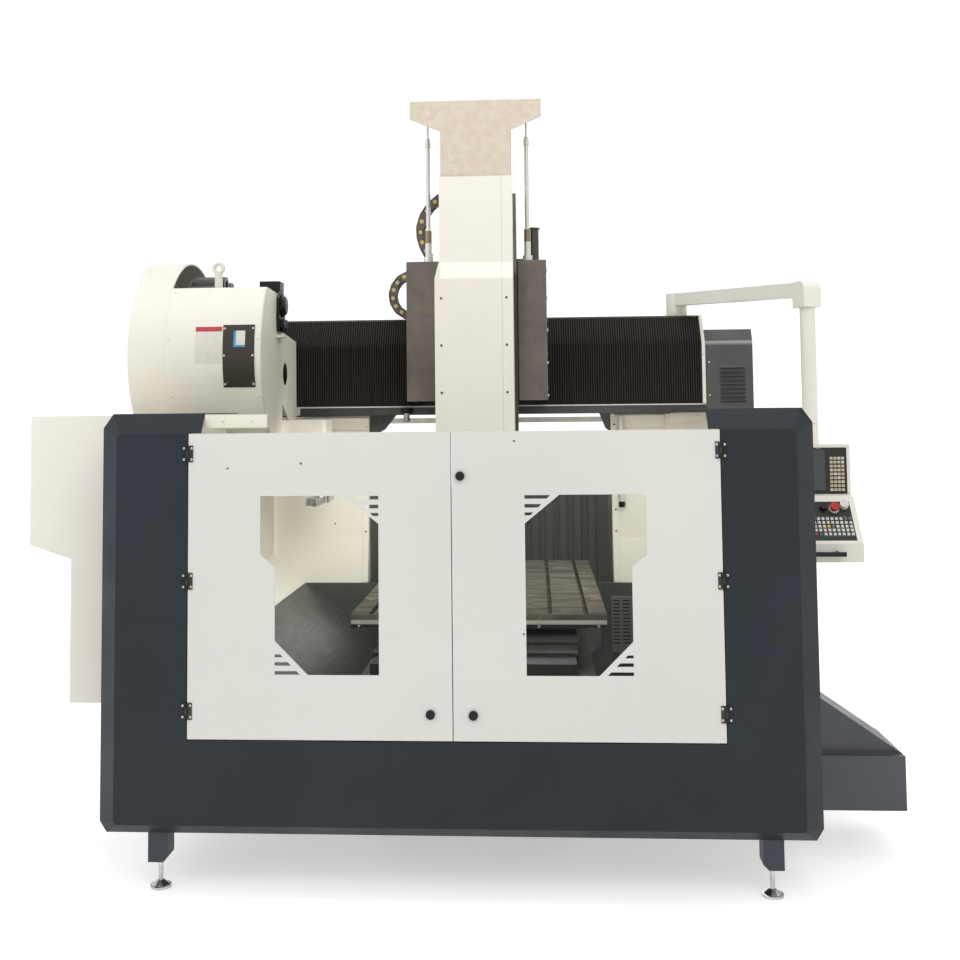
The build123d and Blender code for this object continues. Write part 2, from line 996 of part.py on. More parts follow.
# Ram cover: folded sheet round the front and the sides, with a deeper lower part
lower_screw_r = 5.0
lower_screw_proud = 2.0
cover_screw_inset = 30.0
cover_screw_pitch = 215.0
cover_screw_drop = 90.0
cover_screw_rows = 4
with BuildPart() as ram_cover:
    block(ram_cover_left, ram_cover_right, ram_cover_front, ram_cover_back, ram_cover_low, ram_cover_top)
    prism_x(
        [
            (ram_cover_front, ram_cover_low),
            (bulge_front, ram_cover_low),
            (bulge_front, bulge_top),
            (ram_cover_front, bulge_step),
        ],
        ram_cover_left,
        ram_cover_right,
    )
    prism_y(
        [
            (ram_cover_left, ram_cover_low),
            (bulge_left, ram_cover_low),
            (bulge_left, bulge_top),
            (ram_cover_left, bulge_step),
        ],
        bulge_front,
        guard_front - panel_gap,
    )
    block(
        ram_cover_left + sheet,
        ram_cover_right - sheet,
        ram_cover_front + sheet,
        ram_cover_back,
        ram_cover_low,
        ram_cover_top,
        Mode.SUBTRACT,
    )
    block(
        bulge_left + sheet,
        ram_cover_right - sheet,
        bulge_front + sheet,
        guard_front - panel_gap - sheet,
        ram_cover_low,
        bulge_top - sheet,
        Mode.SUBTRACT,
    )
    block(
        ram_cover_left,
        ram_cover_left + sheet,
        ram_cover_front + ram_half - panel_gap,
        ram_cover_back,
        chain_plate_low - panel_gap,
        chain_plate_high + panel_gap,
        Mode.SUBTRACT,
    )
    block(
        ram_cover_right - sheet,
        ram_cover_right,
        side_strip_front - panel_gap,
        ram_cover_back,
        ram_cover_low,
        side_strip_top + panel_gap,
        Mode.SUBTRACT,
    )
    for x in (bulge_left + cover_screw_inset, bulge_right - cover_screw_inset):
        for i in range(cover_screw_rows):
            rod_y_bar(
                x,
                bulge_top - cover_screw_drop - i * cover_screw_pitch,
                lower_screw_r,
                bulge_front - lower_screw_proud,
                bulge_front,
            )
save(ram_cover, "ram_cover")

# Yoke on top of the ram: its wings thin out to the rear, and it has a recess at the back
stud_r = 5.0
stud_top = yoke_tip + yoke_rise
yoke_rib = 22.0
yoke_recess = 120.0


def yoke_outline(rise):
    """Wings of the yoke as (x, z) points, with the underside raised by the given amount."""
    return [
        (yoke_stem_right, yoke_waist + rise),
        (yoke_right, yoke_tip + rise),
        (yoke_right, yoke_top + rise),
        (yoke_left, yoke_top + rise),
        (yoke_left, yoke_tip + rise),
        (yoke_stem_left, yoke_waist + rise),
    ]


with BuildPart() as yoke:
    with BuildSketch(Plane.XZ.offset(-yoke_front)) as wing_front:
        Polygon(*yoke_outline(0), align=None)
    with BuildSketch(Plane.XZ.offset(-yoke_back)) as wing_back:
        Polygon(*yoke_outline(yoke_rise), align=None)
    loft([wing_front.sketch.face(), wing_back.sketch.face()], ruled=True)
    block(
        yoke_left,
        yoke_right,
        yoke_front,
        yoke_back,
        yoke_top,
        yoke_top + yoke_rise,
        Mode.SUBTRACT,
    )
    block(yoke_stem_left, yoke_stem_right, yoke_front, ram_back, ram_top, yoke_waist + yoke_rise)
    block(
        yoke_stem_left + yoke_rib,
        yoke_stem_right - yoke_rib,
        yoke_back - yoke_recess,
        yoke_back,
        ram_top + yoke_rib,
        yoke_top - yoke_rib,
        Mode.SUBTRACT,
    )
    for x_rod in (rod_left, rod_right):
        rod_z(x_rod, rod_y, stud_r + running_fit, yoke_waist, stud_top + panel_gap, Mode.SUBTRACT)
save(yoke, "yoke")

# Counterbalance rods with an eye and a stud under the yoke
with BuildPart() as counterbalance_rods:
    for x_rod in (rod_left, rod_right):
        rod_z(x_rod, rod_y, rod_r, rod_low, rod_top)
        rod_z(x_rod, rod_y, eye_r, rod_top - eye_high, rod_top - eye_r)
        rod_z(x_rod, rod_y, stud_r, rod_top, stud_top)
save(counterbalance_rods, "counterbalance_rods")


def bellows(x0, x1, folds):
    """Folded bellows, upright in its lower part and leaning back above."""
    pitch = (x1 - x0) / folds
    front = []
    for i in range(folds):
        front.append((x0 + i * pitch, strip_front + pleat_deep))
        front.append((x0 + (i + 0.5) * pitch, strip_front))
    front.append((x1, strip_front + pleat_deep))
    outline = front + [(x1, strip_front + bellows_thick), (x0, strip_front + bellows_thick)]
    prism_z(outline, bellows_low, bellows_crease)
    with BuildSketch(Plane.XY.offset(bellows_crease)) as profile:
        Polygon(*outline, align=None)
    rise = bellows_top - bellows_crease
    extrude(profile.sketch, amount=sqrt(rise**2 + bellows_lean**2), dir=(0, bellows_lean, rise))


# Bellows on both sides of the saddle
pleat_deep = 14.0
bellows_thick = 38.0
bellows_low = 1664.0
bellows_crease = 1956.0
bellows_top = 2095.0
bellows_lean = 90.0
frame_wide = 17.0
left_folds = 44
right_folds = 48
with BuildPart() as bellows_left:
    bellows(beam_left + frame_wide, plate_left - slide_gap, left_folds)
save(bellows_left, "bellows_left")

with BuildPart() as bellows_right:
    bellows(plate_right + slide_gap, beam_right - frame_wide, right_folds)
save(bellows_right, "bellows_right")

# Motors of the saddle screw, of the table screw and of the magazine
axis_motor_half = 65.0
axis_motor_long = 180.0
flange_half = 80.0
flange_thick = 16.0
magazine_motor = (-964.0, -868.0, -262.0, -160.0, 1955.0, 2236.0)
motor_corner = 14.0
with BuildPart() as drive_motors:
    block(*magazine_motor)
    fillet(drive_motors.edges().filter_by(Axis.Z), radius=motor_corner)
    for z_half, length in ((flange_half, flange_thick), (axis_motor_half, axis_motor_long)):
        block(
            beam_right,
            beam_right + length,
            screw_beam_y + bearing_half - z_half,
            screw_beam_y + bearing_half + z_half,
            screw_beam_z - z_half,
            screw_beam_z + z_half,
        )
        block(
            gantry_x - z_half,
            gantry_x + z_half,
            bed_back,
            bed_back + length,
            screw_z - z_half,
            screw_z + z_half,
        )
save(drive_motors, "drive_motors")

# Louvered cover of the beam motor: folded sheet, open towards the beam
motor_cover_right = 1345.0
motor_cover_low = 1636.0
motor_cover_top = 2020.0
motor_cover_bend = 1958.0
motor_cover_bend_y = 232.0
motor_cover_back = 640.0
louver_left = 1188.0
louver_right = 1306.0
louver_low = 1672.0
louver_pitch = 20.0
louver_count = 9
louver_high = 9.0
louver_proud = 6.0
louver_thick = 1.8
motor_cover_outline = [
    (strip_front, motor_cover_low),
    (motor_cover_back, motor_cover_low),
    (motor_cover_back, motor_cover_top),
    (motor_cover_bend_y, motor_cover_top),
    (strip_front, motor_cover_bend),
]
motor_cover_cavity = [
    (strip_front + sheet, motor_cover_low + sheet),
    (motor_cover_back - sheet, motor_cover_low + sheet),
    (motor_cover_back - sheet, motor_cover_top - sheet),
    (motor_cover_bend_y + sheet, motor_cover_top - sheet),
    (strip_front + sheet, motor_cover_bend - sheet / 2),
]
with BuildPart() as beam_motor_cover:
    prism_x(motor_cover_outline, beam_right, motor_cover_right)
    prism_x(motor_cover_cavity, beam_right, motor_cover_right - sheet, Mode.SUBTRACT)
    for i in range(louver_count):
        z = louver_low + i * louver_pitch
        block(louver_left, louver_right, strip_front, strip_front + sheet, z, z + louver_high, Mode.SUBTRACT)
        prism_x(
            [
                (strip_front, z + louver_high),
                (strip_front - louver_proud, z + louver_high / 3),
                (strip_front - louver_proud, z),
                (strip_front - louver_proud + louver_thick, z),
                (strip_front - louver_proud + louver_thick, z + louver_high / 3),
                (strip_front, z + louver_high - louver_thick),
                (strip_front + sheet, z + louver_high - louver_thick),
                (strip_front + sheet, z + louver_high),
            ],
            louver_left,
            louver_right,
        )
save(beam_motor_cover, "beam_motor_cover")

# Front enclosure: folded sheet with sloped edges, open above the doors and at the back
face_y = -1500.0
face_half = 1165.0
face_low = 240.0
face_high = 1568.0
wall_y = -1445.0
wall_half = 1232.0
wall_low = 197.0
wall_high = 1637.0
wall_top_cut = (35.0, 50.0)
wall_low_cut = (24.0, 38.0)
face_cut_share = 0.3
wall_back_high = -1000.0
wall_back_low = -600.0
wall_step_z = 1000.0
cap_left = -867.0
cap_right = 872.0
opening_half = 913.0
opening_low = 524.0
floor_flange = 120.0
jamb_deep = 40.0


def octagon(half, low, high, top_cut, low_cut):
    """Rectangle with cut corners, as (x, z) points."""
    return [
        (-half + low_cut[0], low),
        (half - low_cut[0], low),
        (half, low + low_cut[1]),
        (half, high - top_cut[1]),
        (half - top_cut[0], high),
        (-half + top_cut[0], high),
        (-half, high - top_cut[1]),
        (-half, low + low_cut[1]),
    ]


def hood(shrink):
    """Solid inside the sloped front and the walls, each face moved in by the same amount."""
    face_top_cut = [cut * face_cut_share for cut in wall_top_cut]
    face_low_cut = [cut * face_cut_share for cut in wall_low_cut]
    face = octagon(face_half - shrink, face_low + shrink, face_high - shrink, face_top_cut, face_low_cut)
    wall = octagon(wall_half - shrink, wall_low + shrink, wall_high - shrink, wall_top_cut, wall_low_cut)
    with BuildSketch(Plane.XZ.offset(-(face_y + shrink))) as front:
        Polygon(*face, align=None)
    with BuildSketch(Plane.XZ.offset(-wall_y)) as back:
        Polygon(*wall, align=None)
    with BuildPart() as solid:
        loft([front.sketch.face(), back.sketch.face()], ruled=True)
        prism_y(wall, wall_y, wall_back_low)
    return solid.part


outer_hood = hood(0)
inner_hood = hood(sheet)
with BuildPart() as front_enclosure:
    add(outer_hood)
    add(inner_hood, mode=Mode.SUBTRACT)
    block(-opening_half, opening_half, face_y, wall_y, opening_low, face_high, Mode.SUBTRACT)
    block(cap_left, cap_right, face_y, wall_back_low, face_high, wall_high, Mode.SUBTRACT)
    block(-wall_half, wall_half, wall_back_high, wall_back_low, wall_step_z, wall_high, Mode.SUBTRACT)
    block(
        -wall_half + 2 * sheet + wall_low_cut[0],
        wall_half - 2 * sheet - wall_low_cut[0],
        wall_y + floor_flange,
        wall_back_low,
        wall_low,
        wall_low + 2 * sheet,
        Mode.SUBTRACT,
    )
    block(-opening_half, opening_half, face_y, face_y + jamb_deep, opening_low - sheet, opening_low)
    for side in (-1, 1):
        x_in = side * opening_half
        x_out = side * (opening_half + sheet)
        block(
            min(x_in, x_out),
            max(x_in, x_out),
            face_y,
            face_y + jamb_deep,
            opening_low - sheet,
            face_high,
        )
save(front_enclosure, "front_enclosure")

# Legs of the enclosure with bright levelling feet
leg_wide = 70.0
leg_low = 95.0
leg_xs = (-1028.0, 1066.0)
leg_y = -1405.0
leg_chamfer = 18.0
leg_stem_r = 8.0
leg_disc_r = 36.0
leg_disc_high = 9.0
leg_cone_high = 16.0
leg_cone_r = leg_disc_r - 7.0
leg_cone_tip_r = leg_stem_r + 3.0
leg_nut_r = 15.0
leg_nut_high = 9.0
with BuildPart() as enclosure_legs:
    for leg_x in leg_xs:
        inner = -1 if leg_x > 0 else 1
        prism_y(
            [
                (leg_x - inner * leg_wide / 2, leg_low),
                (leg_x + inner * (leg_wide / 2 - leg_chamfer), leg_low),
                (leg_x + inner * leg_wide / 2, leg_low + leg_chamfer),
                (leg_x + inner * leg_wide / 2, wall_low),
                (leg_x - inner * leg_wide / 2, wall_low),
            ],
            leg_y - leg_wide / 2,
            leg_y + leg_wide / 2,
        )
        rod_z(leg_x, leg_y, leg_disc_r, 0, leg_disc_high)
        with Locations((leg_x, leg_y, leg_disc_high + leg_cone_high / 2)):
            Cone(leg_cone_r, leg_cone_tip_r, leg_cone_high)
        rod_z(leg_x, leg_y, leg_stem_r, leg_disc_high, leg_low)
        rod_z(leg_x, leg_y, leg_nut_r, leg_low - leg_nut_high, leg_low)
save(enclosure_legs, "enclosure_legs")

# Front doors: sheet trays with a window, slotted window corners, hinge leaves and small screws
door_gap = 3.0
door_edge = opening_half - door_gap
door_meet = 1.5
door_foot_gap = 4.0
door_head_gap = 2.0
door_low = opening_low + door_foot_gap
door_high = face_high - door_head_gap
door_thick = 30.0
hinge_inset = 1.0
hinge_x = opening_half - hinge_inset
hinge_y = face_y - 6.0
hinge_low_in = 94.0
hinge_mid_in = 533.0
hinge_high_in = 69.0
hinge_zs = (door_low + hinge_low_in, door_low + hinge_mid_in, door_high - hinge_high_in)
hinge_high = 57.0
hinge_reach = 18.5
leaf_thick = 3.0
leaf_gap = 5.5
knuckle_r = 5.0
knuckle_gap = 0.4
pin_r = 2.5
leaf_screw_r = 3.6
leaf_screw_proud = 1.4
leaf_screw_x = 13.0
leaf_screw_z = 19.0
window_side = 250.0
window_outer = 608.0
window_wing = 658.0
window_low = door_low + 217.0
window_high = door_high - 216.0
corner_wide = 114.0
corner_high = 96.0
corner_reach = 118.0
wing_low = window_high - 241.0
wing_full = window_high - 200.0
window = [
    (window_side, window_low),
    (window_outer - corner_wide, window_low),
    (window_outer, window_low + corner_wide),
    (window_outer, wing_low),
    (window_wing, wing_full),
    (window_wing, window_high),
    (window_side + corner_reach, window_high),
    (window_side, window_high - corner_high),
]
slot_rows = ((1.0, 13.0), (31.0, 43.0), (59.0, 69.0))
slot_run = 88.0
upper_slots = [(window_high - b, window_high - a) for a, b in slot_rows]
upper_slot_line = ((window_side, window_high - slot_run), (window_side + slot_run, window_high))
lower_slots = [(window_low + a, window_low + b) for a, b in slot_rows]
lower_slot_line = ((window_outer - slot_run, window_low), (window_outer, window_low + slot_run))
pane_margin = 12.0
pane_thick = 4.0
knob_places = {
    "latch_knob_upper": (31.0, door_high - 151.0),
    "latch_knob_right": (69.0, door_low + 86.0),
    "latch_knob_left": (-76.0, door_low + 88.0),
}
knob_r = 15.5
knob_high = 12.0
knob_slot_deep = 1.5
knob_slot_half = 11.0
knob_shaft_r = 6.0
cam_long = 42.0
cam_wide = 14.0
cam_thick = 3.0
cam_y = face_y + 12.0
face_gap = 0.4
door_screws = {
    -1: ((136.0 - door_edge, door_high - 116.0), (385.0 - door_edge, door_high - 102.0)),
    1: ((window_side - 4.0 * leaf_screw_r, window_low + 138.0),),
}


def line_x(line, z):
    """X on a straight line of (x, z) points at height z."""
    (xa, za), (xb, zb) = line
    return xa + (xb - xa) * (z - za) / (zb - za)


def mirrored(points, side):
    """Points on the side of the object that side names."""
    return [(side * x, z) for x, z in points]


def span(a, b):
    """Two values in rising order."""
    return (min(a, b), max(a, b))


def knuckles(side, moving):
    """Barrel parts and leaves of the door hinges: the middle third moves with the door."""
    third = hinge_high / 3
    for z in hinge_zs:
        base = z - hinge_high / 2
        if moving:
            runs = ((base + third, base + 2 * third),)
            x_leaf = span(side * (hinge_x - leaf_gap), side * (hinge_x - hinge_reach))
        else:
            runs = ((base, base + third - knuckle_gap), (base + 2 * third + knuckle_gap, base + hinge_high))
            x_leaf = span(side * (hinge_x + leaf_gap), side * (hinge_x + hinge_reach))
        block(*x_leaf, face_y - leaf_thick, face_y, base, base + hinge_high)
        for z0, z1 in runs:
            rod_z(side * hinge_x, hinge_y, knuckle_r, z0, z1)
            x_web = span(side * hinge_x, x_leaf[0] if (side > 0) != moving else x_leaf[1])
            block(*x_web, hinge_y + pin_r + face_gap, hinge_y + knuckle_r, z0, z1)
        for dz in (-leaf_screw_z, leaf_screw_z):
            x_screw = side * (hinge_x - leaf_screw_x if moving else hinge_x + leaf_screw_x)
            y_leaf = face_y - leaf_thick
            rod_y_bar(x_screw, z + dz, leaf_screw_r, y_leaf - leaf_screw_proud, y_leaf)
        if moving:
            rod_z(side * hinge_x, hinge_y, pin_r + running_fit, base, base + hinge_high, Mode.SUBTRACT)
        else:
            rod_z(side * hinge_x, hinge_y, pin_r, base, base + hinge_high)


def door(side):
    """One door leaf, hinged at its outer edge."""
    block(*span(side * door_meet, side * door_edge), face_y, face_y + door_thick, door_low, door_high)
    block(
        *span(side * (door_meet + sheet), side * (door_edge - sheet)),
        face_y + sheet,
        face_y + door_thick,
        door_low + sheet,
        door_high - sheet,
        Mode.SUBTRACT,
    )
    prism_y(mirrored(window, side), face_y, face_y + sheet, Mode.SUBTRACT)
    for z0, z1 in upper_slots:
        slot = [
            (window_side, z0),
            (line_x(upper_slot_line, z0), z0),
            (line_x(upper_slot_line, z1), z1),
            (window_side, z1),
        ]
        prism_y(mirrored(slot, side), face_y, face_y + sheet, Mode.SUBTRACT)
    for z0, z1 in lower_slots:
        slot = [
            (window_outer, z0),
            (line_x(lower_slot_line, z0), z0),
            (line_x(lower_slot_line, z1), z1),
            (window_outer, z1),
        ]
        prism_y(mirrored(slot, side), face_y, face_y + sheet, Mode.SUBTRACT)
    for x, z in knob_places.values():
        if x * side > 0:
            rod_y_bar(x, z, knob_shaft_r + running_fit, face_y, face_y + sheet, Mode.SUBTRACT)
    for x, z in door_screws[side]:
        rod_y_bar(x, z, leaf_screw_r, face_y - leaf_screw_proud, face_y)
    knuckles(side, True)


with BuildPart() as door_left:
    door(-1)
save(door_left, "door_left")

with BuildPart() as door_right:
    door(1)
save(door_right, "door_right")

with BuildPart() as hinge_leaves_fixed:
    for side in (-1, 1):
        knuckles(side, False)
save(hinge_leaves_fixed, "hinge_leaves_fixed")


def pane(side):
    """Clear pane behind a window, cut to its outline plus a margin."""
    xs = [x for x, z in window]
    zs = [z for x, z in window]
    block(
        *span(side * (min(xs) - pane_margin), side * (max(xs) + pane_margin)),
        face_y + sheet,
        face_y + sheet + pane_thick,
        min(zs) - pane_margin,
        max(zs) + pane_margin,
    )


with BuildPart() as door_left_pane:
    pane(-1)
save(door_left_pane, "door_left_pane")

with BuildPart() as door_right_pane:
    pane(1)
save(door_right_pane, "door_right_pane")

# Quarter-turn latch knobs, each with its cam inside the door
for knob_name, (knob_x, knob_z) in knob_places.items():
    with BuildPart() as latch_knob:
        rod_y_bar(knob_x, knob_z, knob_r, face_y - knob_high, face_y - face_gap)
        chamfer(latch_knob.edges().group_by(Axis.Y)[0], length=2.0)
        rod_y_bar(knob_x, knob_z, knob_shaft_r, face_y - face_gap, cam_y + cam_thick)
        block(
            knob_x - cam_wide / 2,
            knob_x + cam_wide / 2,
            cam_y,
            cam_y + cam_thick,
            knob_z - cam_wide / 2,
            knob_z + cam_long,
        )
        block(
            knob_x - cam_thick / 2,
            knob_x + cam_thick / 2,
            face_y - knob_high,
            face_y - knob_high + knob_slot_deep,
            knob_z - knob_slot_half,
            knob_z + knob_slot_half,
            Mode.SUBTRACT,
        )
    save(latch_knob, knob_name)

# Sheet guards along both sides of the table, flanged at the top and folded inwards at the foot
guard_left_x = -1027.0
guard_right_x = 1143.0
guard_low = 792.0
guard_knee = 925.0
guard_foot_in = 167.0
guard_high = 1600.0
guard_rear_high = 1420.0
guard_step_y = -650.0
guard_rear_y = 300.0
guard_flange = 25.0
guard_start_y = face_y + sheet
chute_front = face_y + jamb_deep + 4.0
guard_cut = 62.0
with BuildPart() as side_guards:
    for x_guard, side, rear_high in (
        (guard_left_x, -1, guard_rear_high),
        (guard_right_x, 1, guard_high),
    ):
        outline = [
            (guard_start_y, guard_knee),
            (guard_rear_y, guard_knee),
            (guard_rear_y, rear_high),
            (guard_step_y, rear_high),
            (guard_step_y, guard_high),
            (guard_start_y + guard_cut, guard_high),
            (guard_start_y, guard_high - guard_cut),
        ]
        if rear_high == guard_high:
            outline = outline[:3] + outline[5:]
        prism_x(outline, *span(x_guard, x_guard + side * sheet))
        x_foot = x_guard - side * guard_foot_in
        prism_y(
            [
                (x_guard, guard_knee),
                (x_guard + side * sheet, guard_knee),
                (x_guard + side * sheet, guard_knee - sheet),
                (x_foot, guard_low - sheet),
                (x_foot, guard_low),
            ],
            chute_front,
            guard_rear_y,
        )
        x_flange = span(x_guard, x_guard + side * guard_flange)
        block(*x_flange, guard_start_y + guard_cut, guard_step_y, guard_high - sheet, guard_high)
        block(*x_flange, guard_step_y, guard_rear_y, rear_high - sheet, rear_high)
        block(*x_flange, guard_rear_y - sheet, guard_rear_y, guard_knee, rear_high)
save(side_guards, "side_guards")

# Sloped chip chutes from the guards down to the bed with end plates, a front tray and a splash plate
chute_low = 420.0
chute_lap_share = 0.12
chute_end_half = table_half + 40.0
tray_top = 505.0
tray_low = 400.0
splash_left = 575.0
splash_right = 700.0
splash_y = -905.0
splash_top = 915.0
splash_low = 600.0
splash_slot_high = 8.0
splash_slot_pitch = 34.0
splash_slot_rise = 0.3 * (splash_top - splash_low)
splash_rows = 6
with BuildPart() as chip_chutes:
    for x_guard, side in ((guard_left_x, -1), (guard_right_x, 1)):
        x_bed = gantry_x + side * bed_half
        x_foot = x_guard - side * guard_foot_in
        chute_high = guard_low - sheet
        x_lap = x_foot + side * (guard_foot_in + sheet) * chute_lap_share
        lap_high = chute_high + (guard_knee - guard_low) * chute_lap_share
        prism_y(
            [
                (x_lap, lap_high),
                (x_foot, chute_high),
                (x_bed, chute_low),
                (x_bed, chute_low - sheet),
                (x_foot, chute_high - sheet),
                (x_lap, lap_high - sheet),
            ],
            chute_front,
            guard_rear_y,
        )
        x_end = gantry_x + side * chute_end_half
        z_end = chute_low + (chute_high - chute_low) * (x_end - x_bed) / (x_foot - x_bed)
        prism_y(
            [(x_foot, chute_high), (x_end, z_end), (x_end, chute_high)],
            guard_rear_y - sheet,
            guard_rear_y,
        )
    prism_x(
        [
            (guard_start_y, tray_top),
            (bed_front, tray_low),
            (bed_front, tray_low - sheet),
            (guard_start_y, tray_top - sheet),
        ],
        gantry_x - bed_half,
        gantry_x + bed_half,
    )
    block(splash_left, splash_right, splash_y, splash_y + sheet, chute_low, splash_top)
    for i in range(splash_rows):
        z = splash_low + splash_slot_rise + i * splash_slot_pitch
        block(
            splash_left + guard_flange,
            splash_right - guard_flange,
            splash_y,
            splash_y + sheet,
            z,
            z + splash_slot_high,
            Mode.SUBTRACT,
        )
save(chip_chutes, "chip_chutes")

# Rear guard behind the columns, with vent slots
rear_y = 1515.0
rear_low = 200.0
rear_high = 1180.0
rear_slots = 6
rear_slot_pitch = 40.0
rear_slot_half = 110.0
rear_slot_x = 480.0
rear_left = gantry_x - column_out
rear_right = gantry_x + column_out
with BuildPart() as rear_guard:
    block(rear_left, rear_right, column_back, rear_y, rear_low, rear_high)
    block(
        rear_left + sheet,
        rear_right - sheet,
        column_back,
        rear_y - sheet,
        rear_low,
        rear_high,
        Mode.SUBTRACT,
    )
    fillet(rear_guard.edges().filter_by(Axis.Z).group_by(Axis.Y)[-1], radius=sheet * 2)
    for side in (-1, 1):
        for i in range(rear_slots):
            z = rear_low + (i + 1) * rear_slot_pitch
            block(
                gantry_x + side * rear_slot_x - rear_slot_half,
                gantry_x + side * rear_slot_x + rear_slot_half,
                rear_y - sheet,
                rear_y,
                z,
                z + splash_slot_high,
                Mode.SUBTRACT,
            )
save(rear_guard, "rear_guard")

# Electrical cabinet on the left, hollow, with a frame round its outer door opening
cabinet_left = -1617.0
cabinet_front = -1170.0
cabinet_back = -670.0
cabinet_top = 1630.0
cabinet_foot_x = -1457.0
cabinet_foot_z = 565.0
cabinet_slope_in = 1095.0
cabinet_slope_out = 1147.0
cabinet_door_low = 1170.0
cabinet_door_high = 1612.0
cabinet_door_margin = 12.0
cabinet_frame = 26.0
cabinet_door_thick = 3.0
cabinet_outline = [
    (cabinet_left, cabinet_top),
    (-wall_half, cabinet_top),
    (-wall_half, cabinet_foot_z),
    (cabinet_foot_x, cabinet_foot_z),
    (cabinet_foot_x, cabinet_slope_in),
    (cabinet_left, cabinet_slope_out),
]
cabinet_cavity = [
    (cabinet_left + sheet, cabinet_top - sheet),
    (-wall_half - sheet, cabinet_top - sheet),
    (-wall_half - sheet, cabinet_foot_z + sheet),
    (cabinet_foot_x + sheet, cabinet_foot_z + sheet),
    (cabinet_foot_x + sheet, cabinet_slope_in + sheet),
    (cabinet_left + sheet, cabinet_slope_out + sheet),
]
cabinet_hinge_x = cabinet_left - 6.0
cabinet_hinge_y = cabinet_back - 6.0
cabinet_hinge_zs = (1250.0, 1530.0)
cabinet_knuckle_r = 3.5
cabinet_pin_r = 1.5
cabinet_knuckle_high = 16.0
cabinet_hinge_half = 1.5 * cabinet_knuckle_high
with BuildPart() as electrical_cabinet:
    prism_y(cabinet_outline, cabinet_front, cabinet_back)
    prism_y(cabinet_cavity, cabinet_front + sheet, cabinet_back - sheet, Mode.SUBTRACT)
    block(
        cabinet_left,
        cabinet_left + sheet,
        cabinet_front + cabinet_frame,
        cabinet_back - cabinet_frame,
        cabinet_door_low + cabinet_frame,
        cabinet_door_high - cabinet_frame,
        Mode.SUBTRACT,
    )
    for z in cabinet_hinge_zs:
        for z0 in (z - cabinet_hinge_half, z + cabinet_knuckle_high / 2 + knuckle_gap):
            z1 = z0 + cabinet_knuckle_high - knuckle_gap
            rod_z(cabinet_hinge_x, cabinet_hinge_y, cabinet_knuckle_r, z0, z1)
            block(
                cabinet_hinge_x,
                cabinet_left,
                cabinet_hinge_y + cabinet_pin_r + face_gap,
                cabinet_back,
                z0,
                z1,
            )
        rod_z(
            cabinet_hinge_x,
            cabinet_hinge_y,
            cabinet_pin_r,
            z - cabinet_hinge_half,
            z + cabinet_hinge_half,
        )
save(electrical_cabinet, "electrical_cabinet")

# Door of the electrical cabinet, hinged at its rear edge
cabinet_door_edge = cabinet_hinge_y - panel_gap
handle_high = 90.0
handle_wide = 18.0
handle_proud = 2.5
with BuildPart() as cabinet_door:
    block(
        cabinet_left - cabinet_door_thick,
        cabinet_left - face_gap,
        cabinet_front + cabinet_door_margin,
        cabinet_door_edge,
        cabinet_door_low,
        cabinet_door_high,
    )
    for z in cabinet_hinge_zs:
        z0 = z - cabinet_knuckle_high / 2
        z1 = z + cabinet_knuckle_high / 2 - knuckle_gap
        rod_z(cabinet_hinge_x, cabinet_hinge_y, cabinet_knuckle_r, z0, z1)
        block(
            cabinet_hinge_x,
            cabinet_left - cabinet_door_thick,
            cabinet_door_edge - panel_gap,
            cabinet_hinge_y,
            z0,
            z1,
        )
        block(
            cabinet_left - cabinet_door_thick - face_gap,
            cabinet_left - face_gap,
            cabinet_door_edge - panel_gap,
            cabinet_door_edge,
            z0,
            z1,
        )
        rod_z(
            cabinet_hinge_x,
            cabinet_hinge_y,
            cabinet_pin_r + running_fit,
            z0,
            z1,
            Mode.SUBTRACT,
        )
    block(
        cabinet_left - cabinet_door_thick - handle_proud,
        cabinet_left - cabinet_door_thick,
        cabinet_front + cabinet_frame,
        cabinet_front + cabinet_frame + handle_wide,
        (cabinet_door_low + cabinet_door_high) / 2 - handle_high / 2,
        (cabinet_door_low + cabinet_door_high) / 2 + handle_high / 2,
    )
save(cabinet_door, "cabinet_door")

# Chip hopper on the right: a low box with a sloped wedge and a front strip against the enclosure
hopper_right = 1620.0
hopper_front = -1070.0
hopper_back = -700.0
hopper_low = 170.0
hopper_box_top = 365.0
hopper_peak = 630.0
hopper_strip = 52.0
hopper_recess = 36.0
with BuildPart() as chip_hopper:
    block(wall_half, hopper_right, hopper_front, hopper_back, hopper_low, hopper_box_top)
    prism_y(
        [
            (wall_half, hopper_box_top),
            (hopper_right, hopper_box_top),
            (wall_half, hopper_peak),
        ],
        hopper_front + hopper_recess,
        hopper_back - hopper_recess,
    )
    prism_y(
        [
            (wall_half, hopper_box_top),
            (wall_half + hopper_strip, hopper_box_top),
            (wall_half + hopper_strip, hopper_peak - hopper_strip),
            (wall_half, hopper_peak),
        ],
        hopper_front,
        hopper_front + hopper_recess,
    )
save(chip_hopper, "chip_hopper")

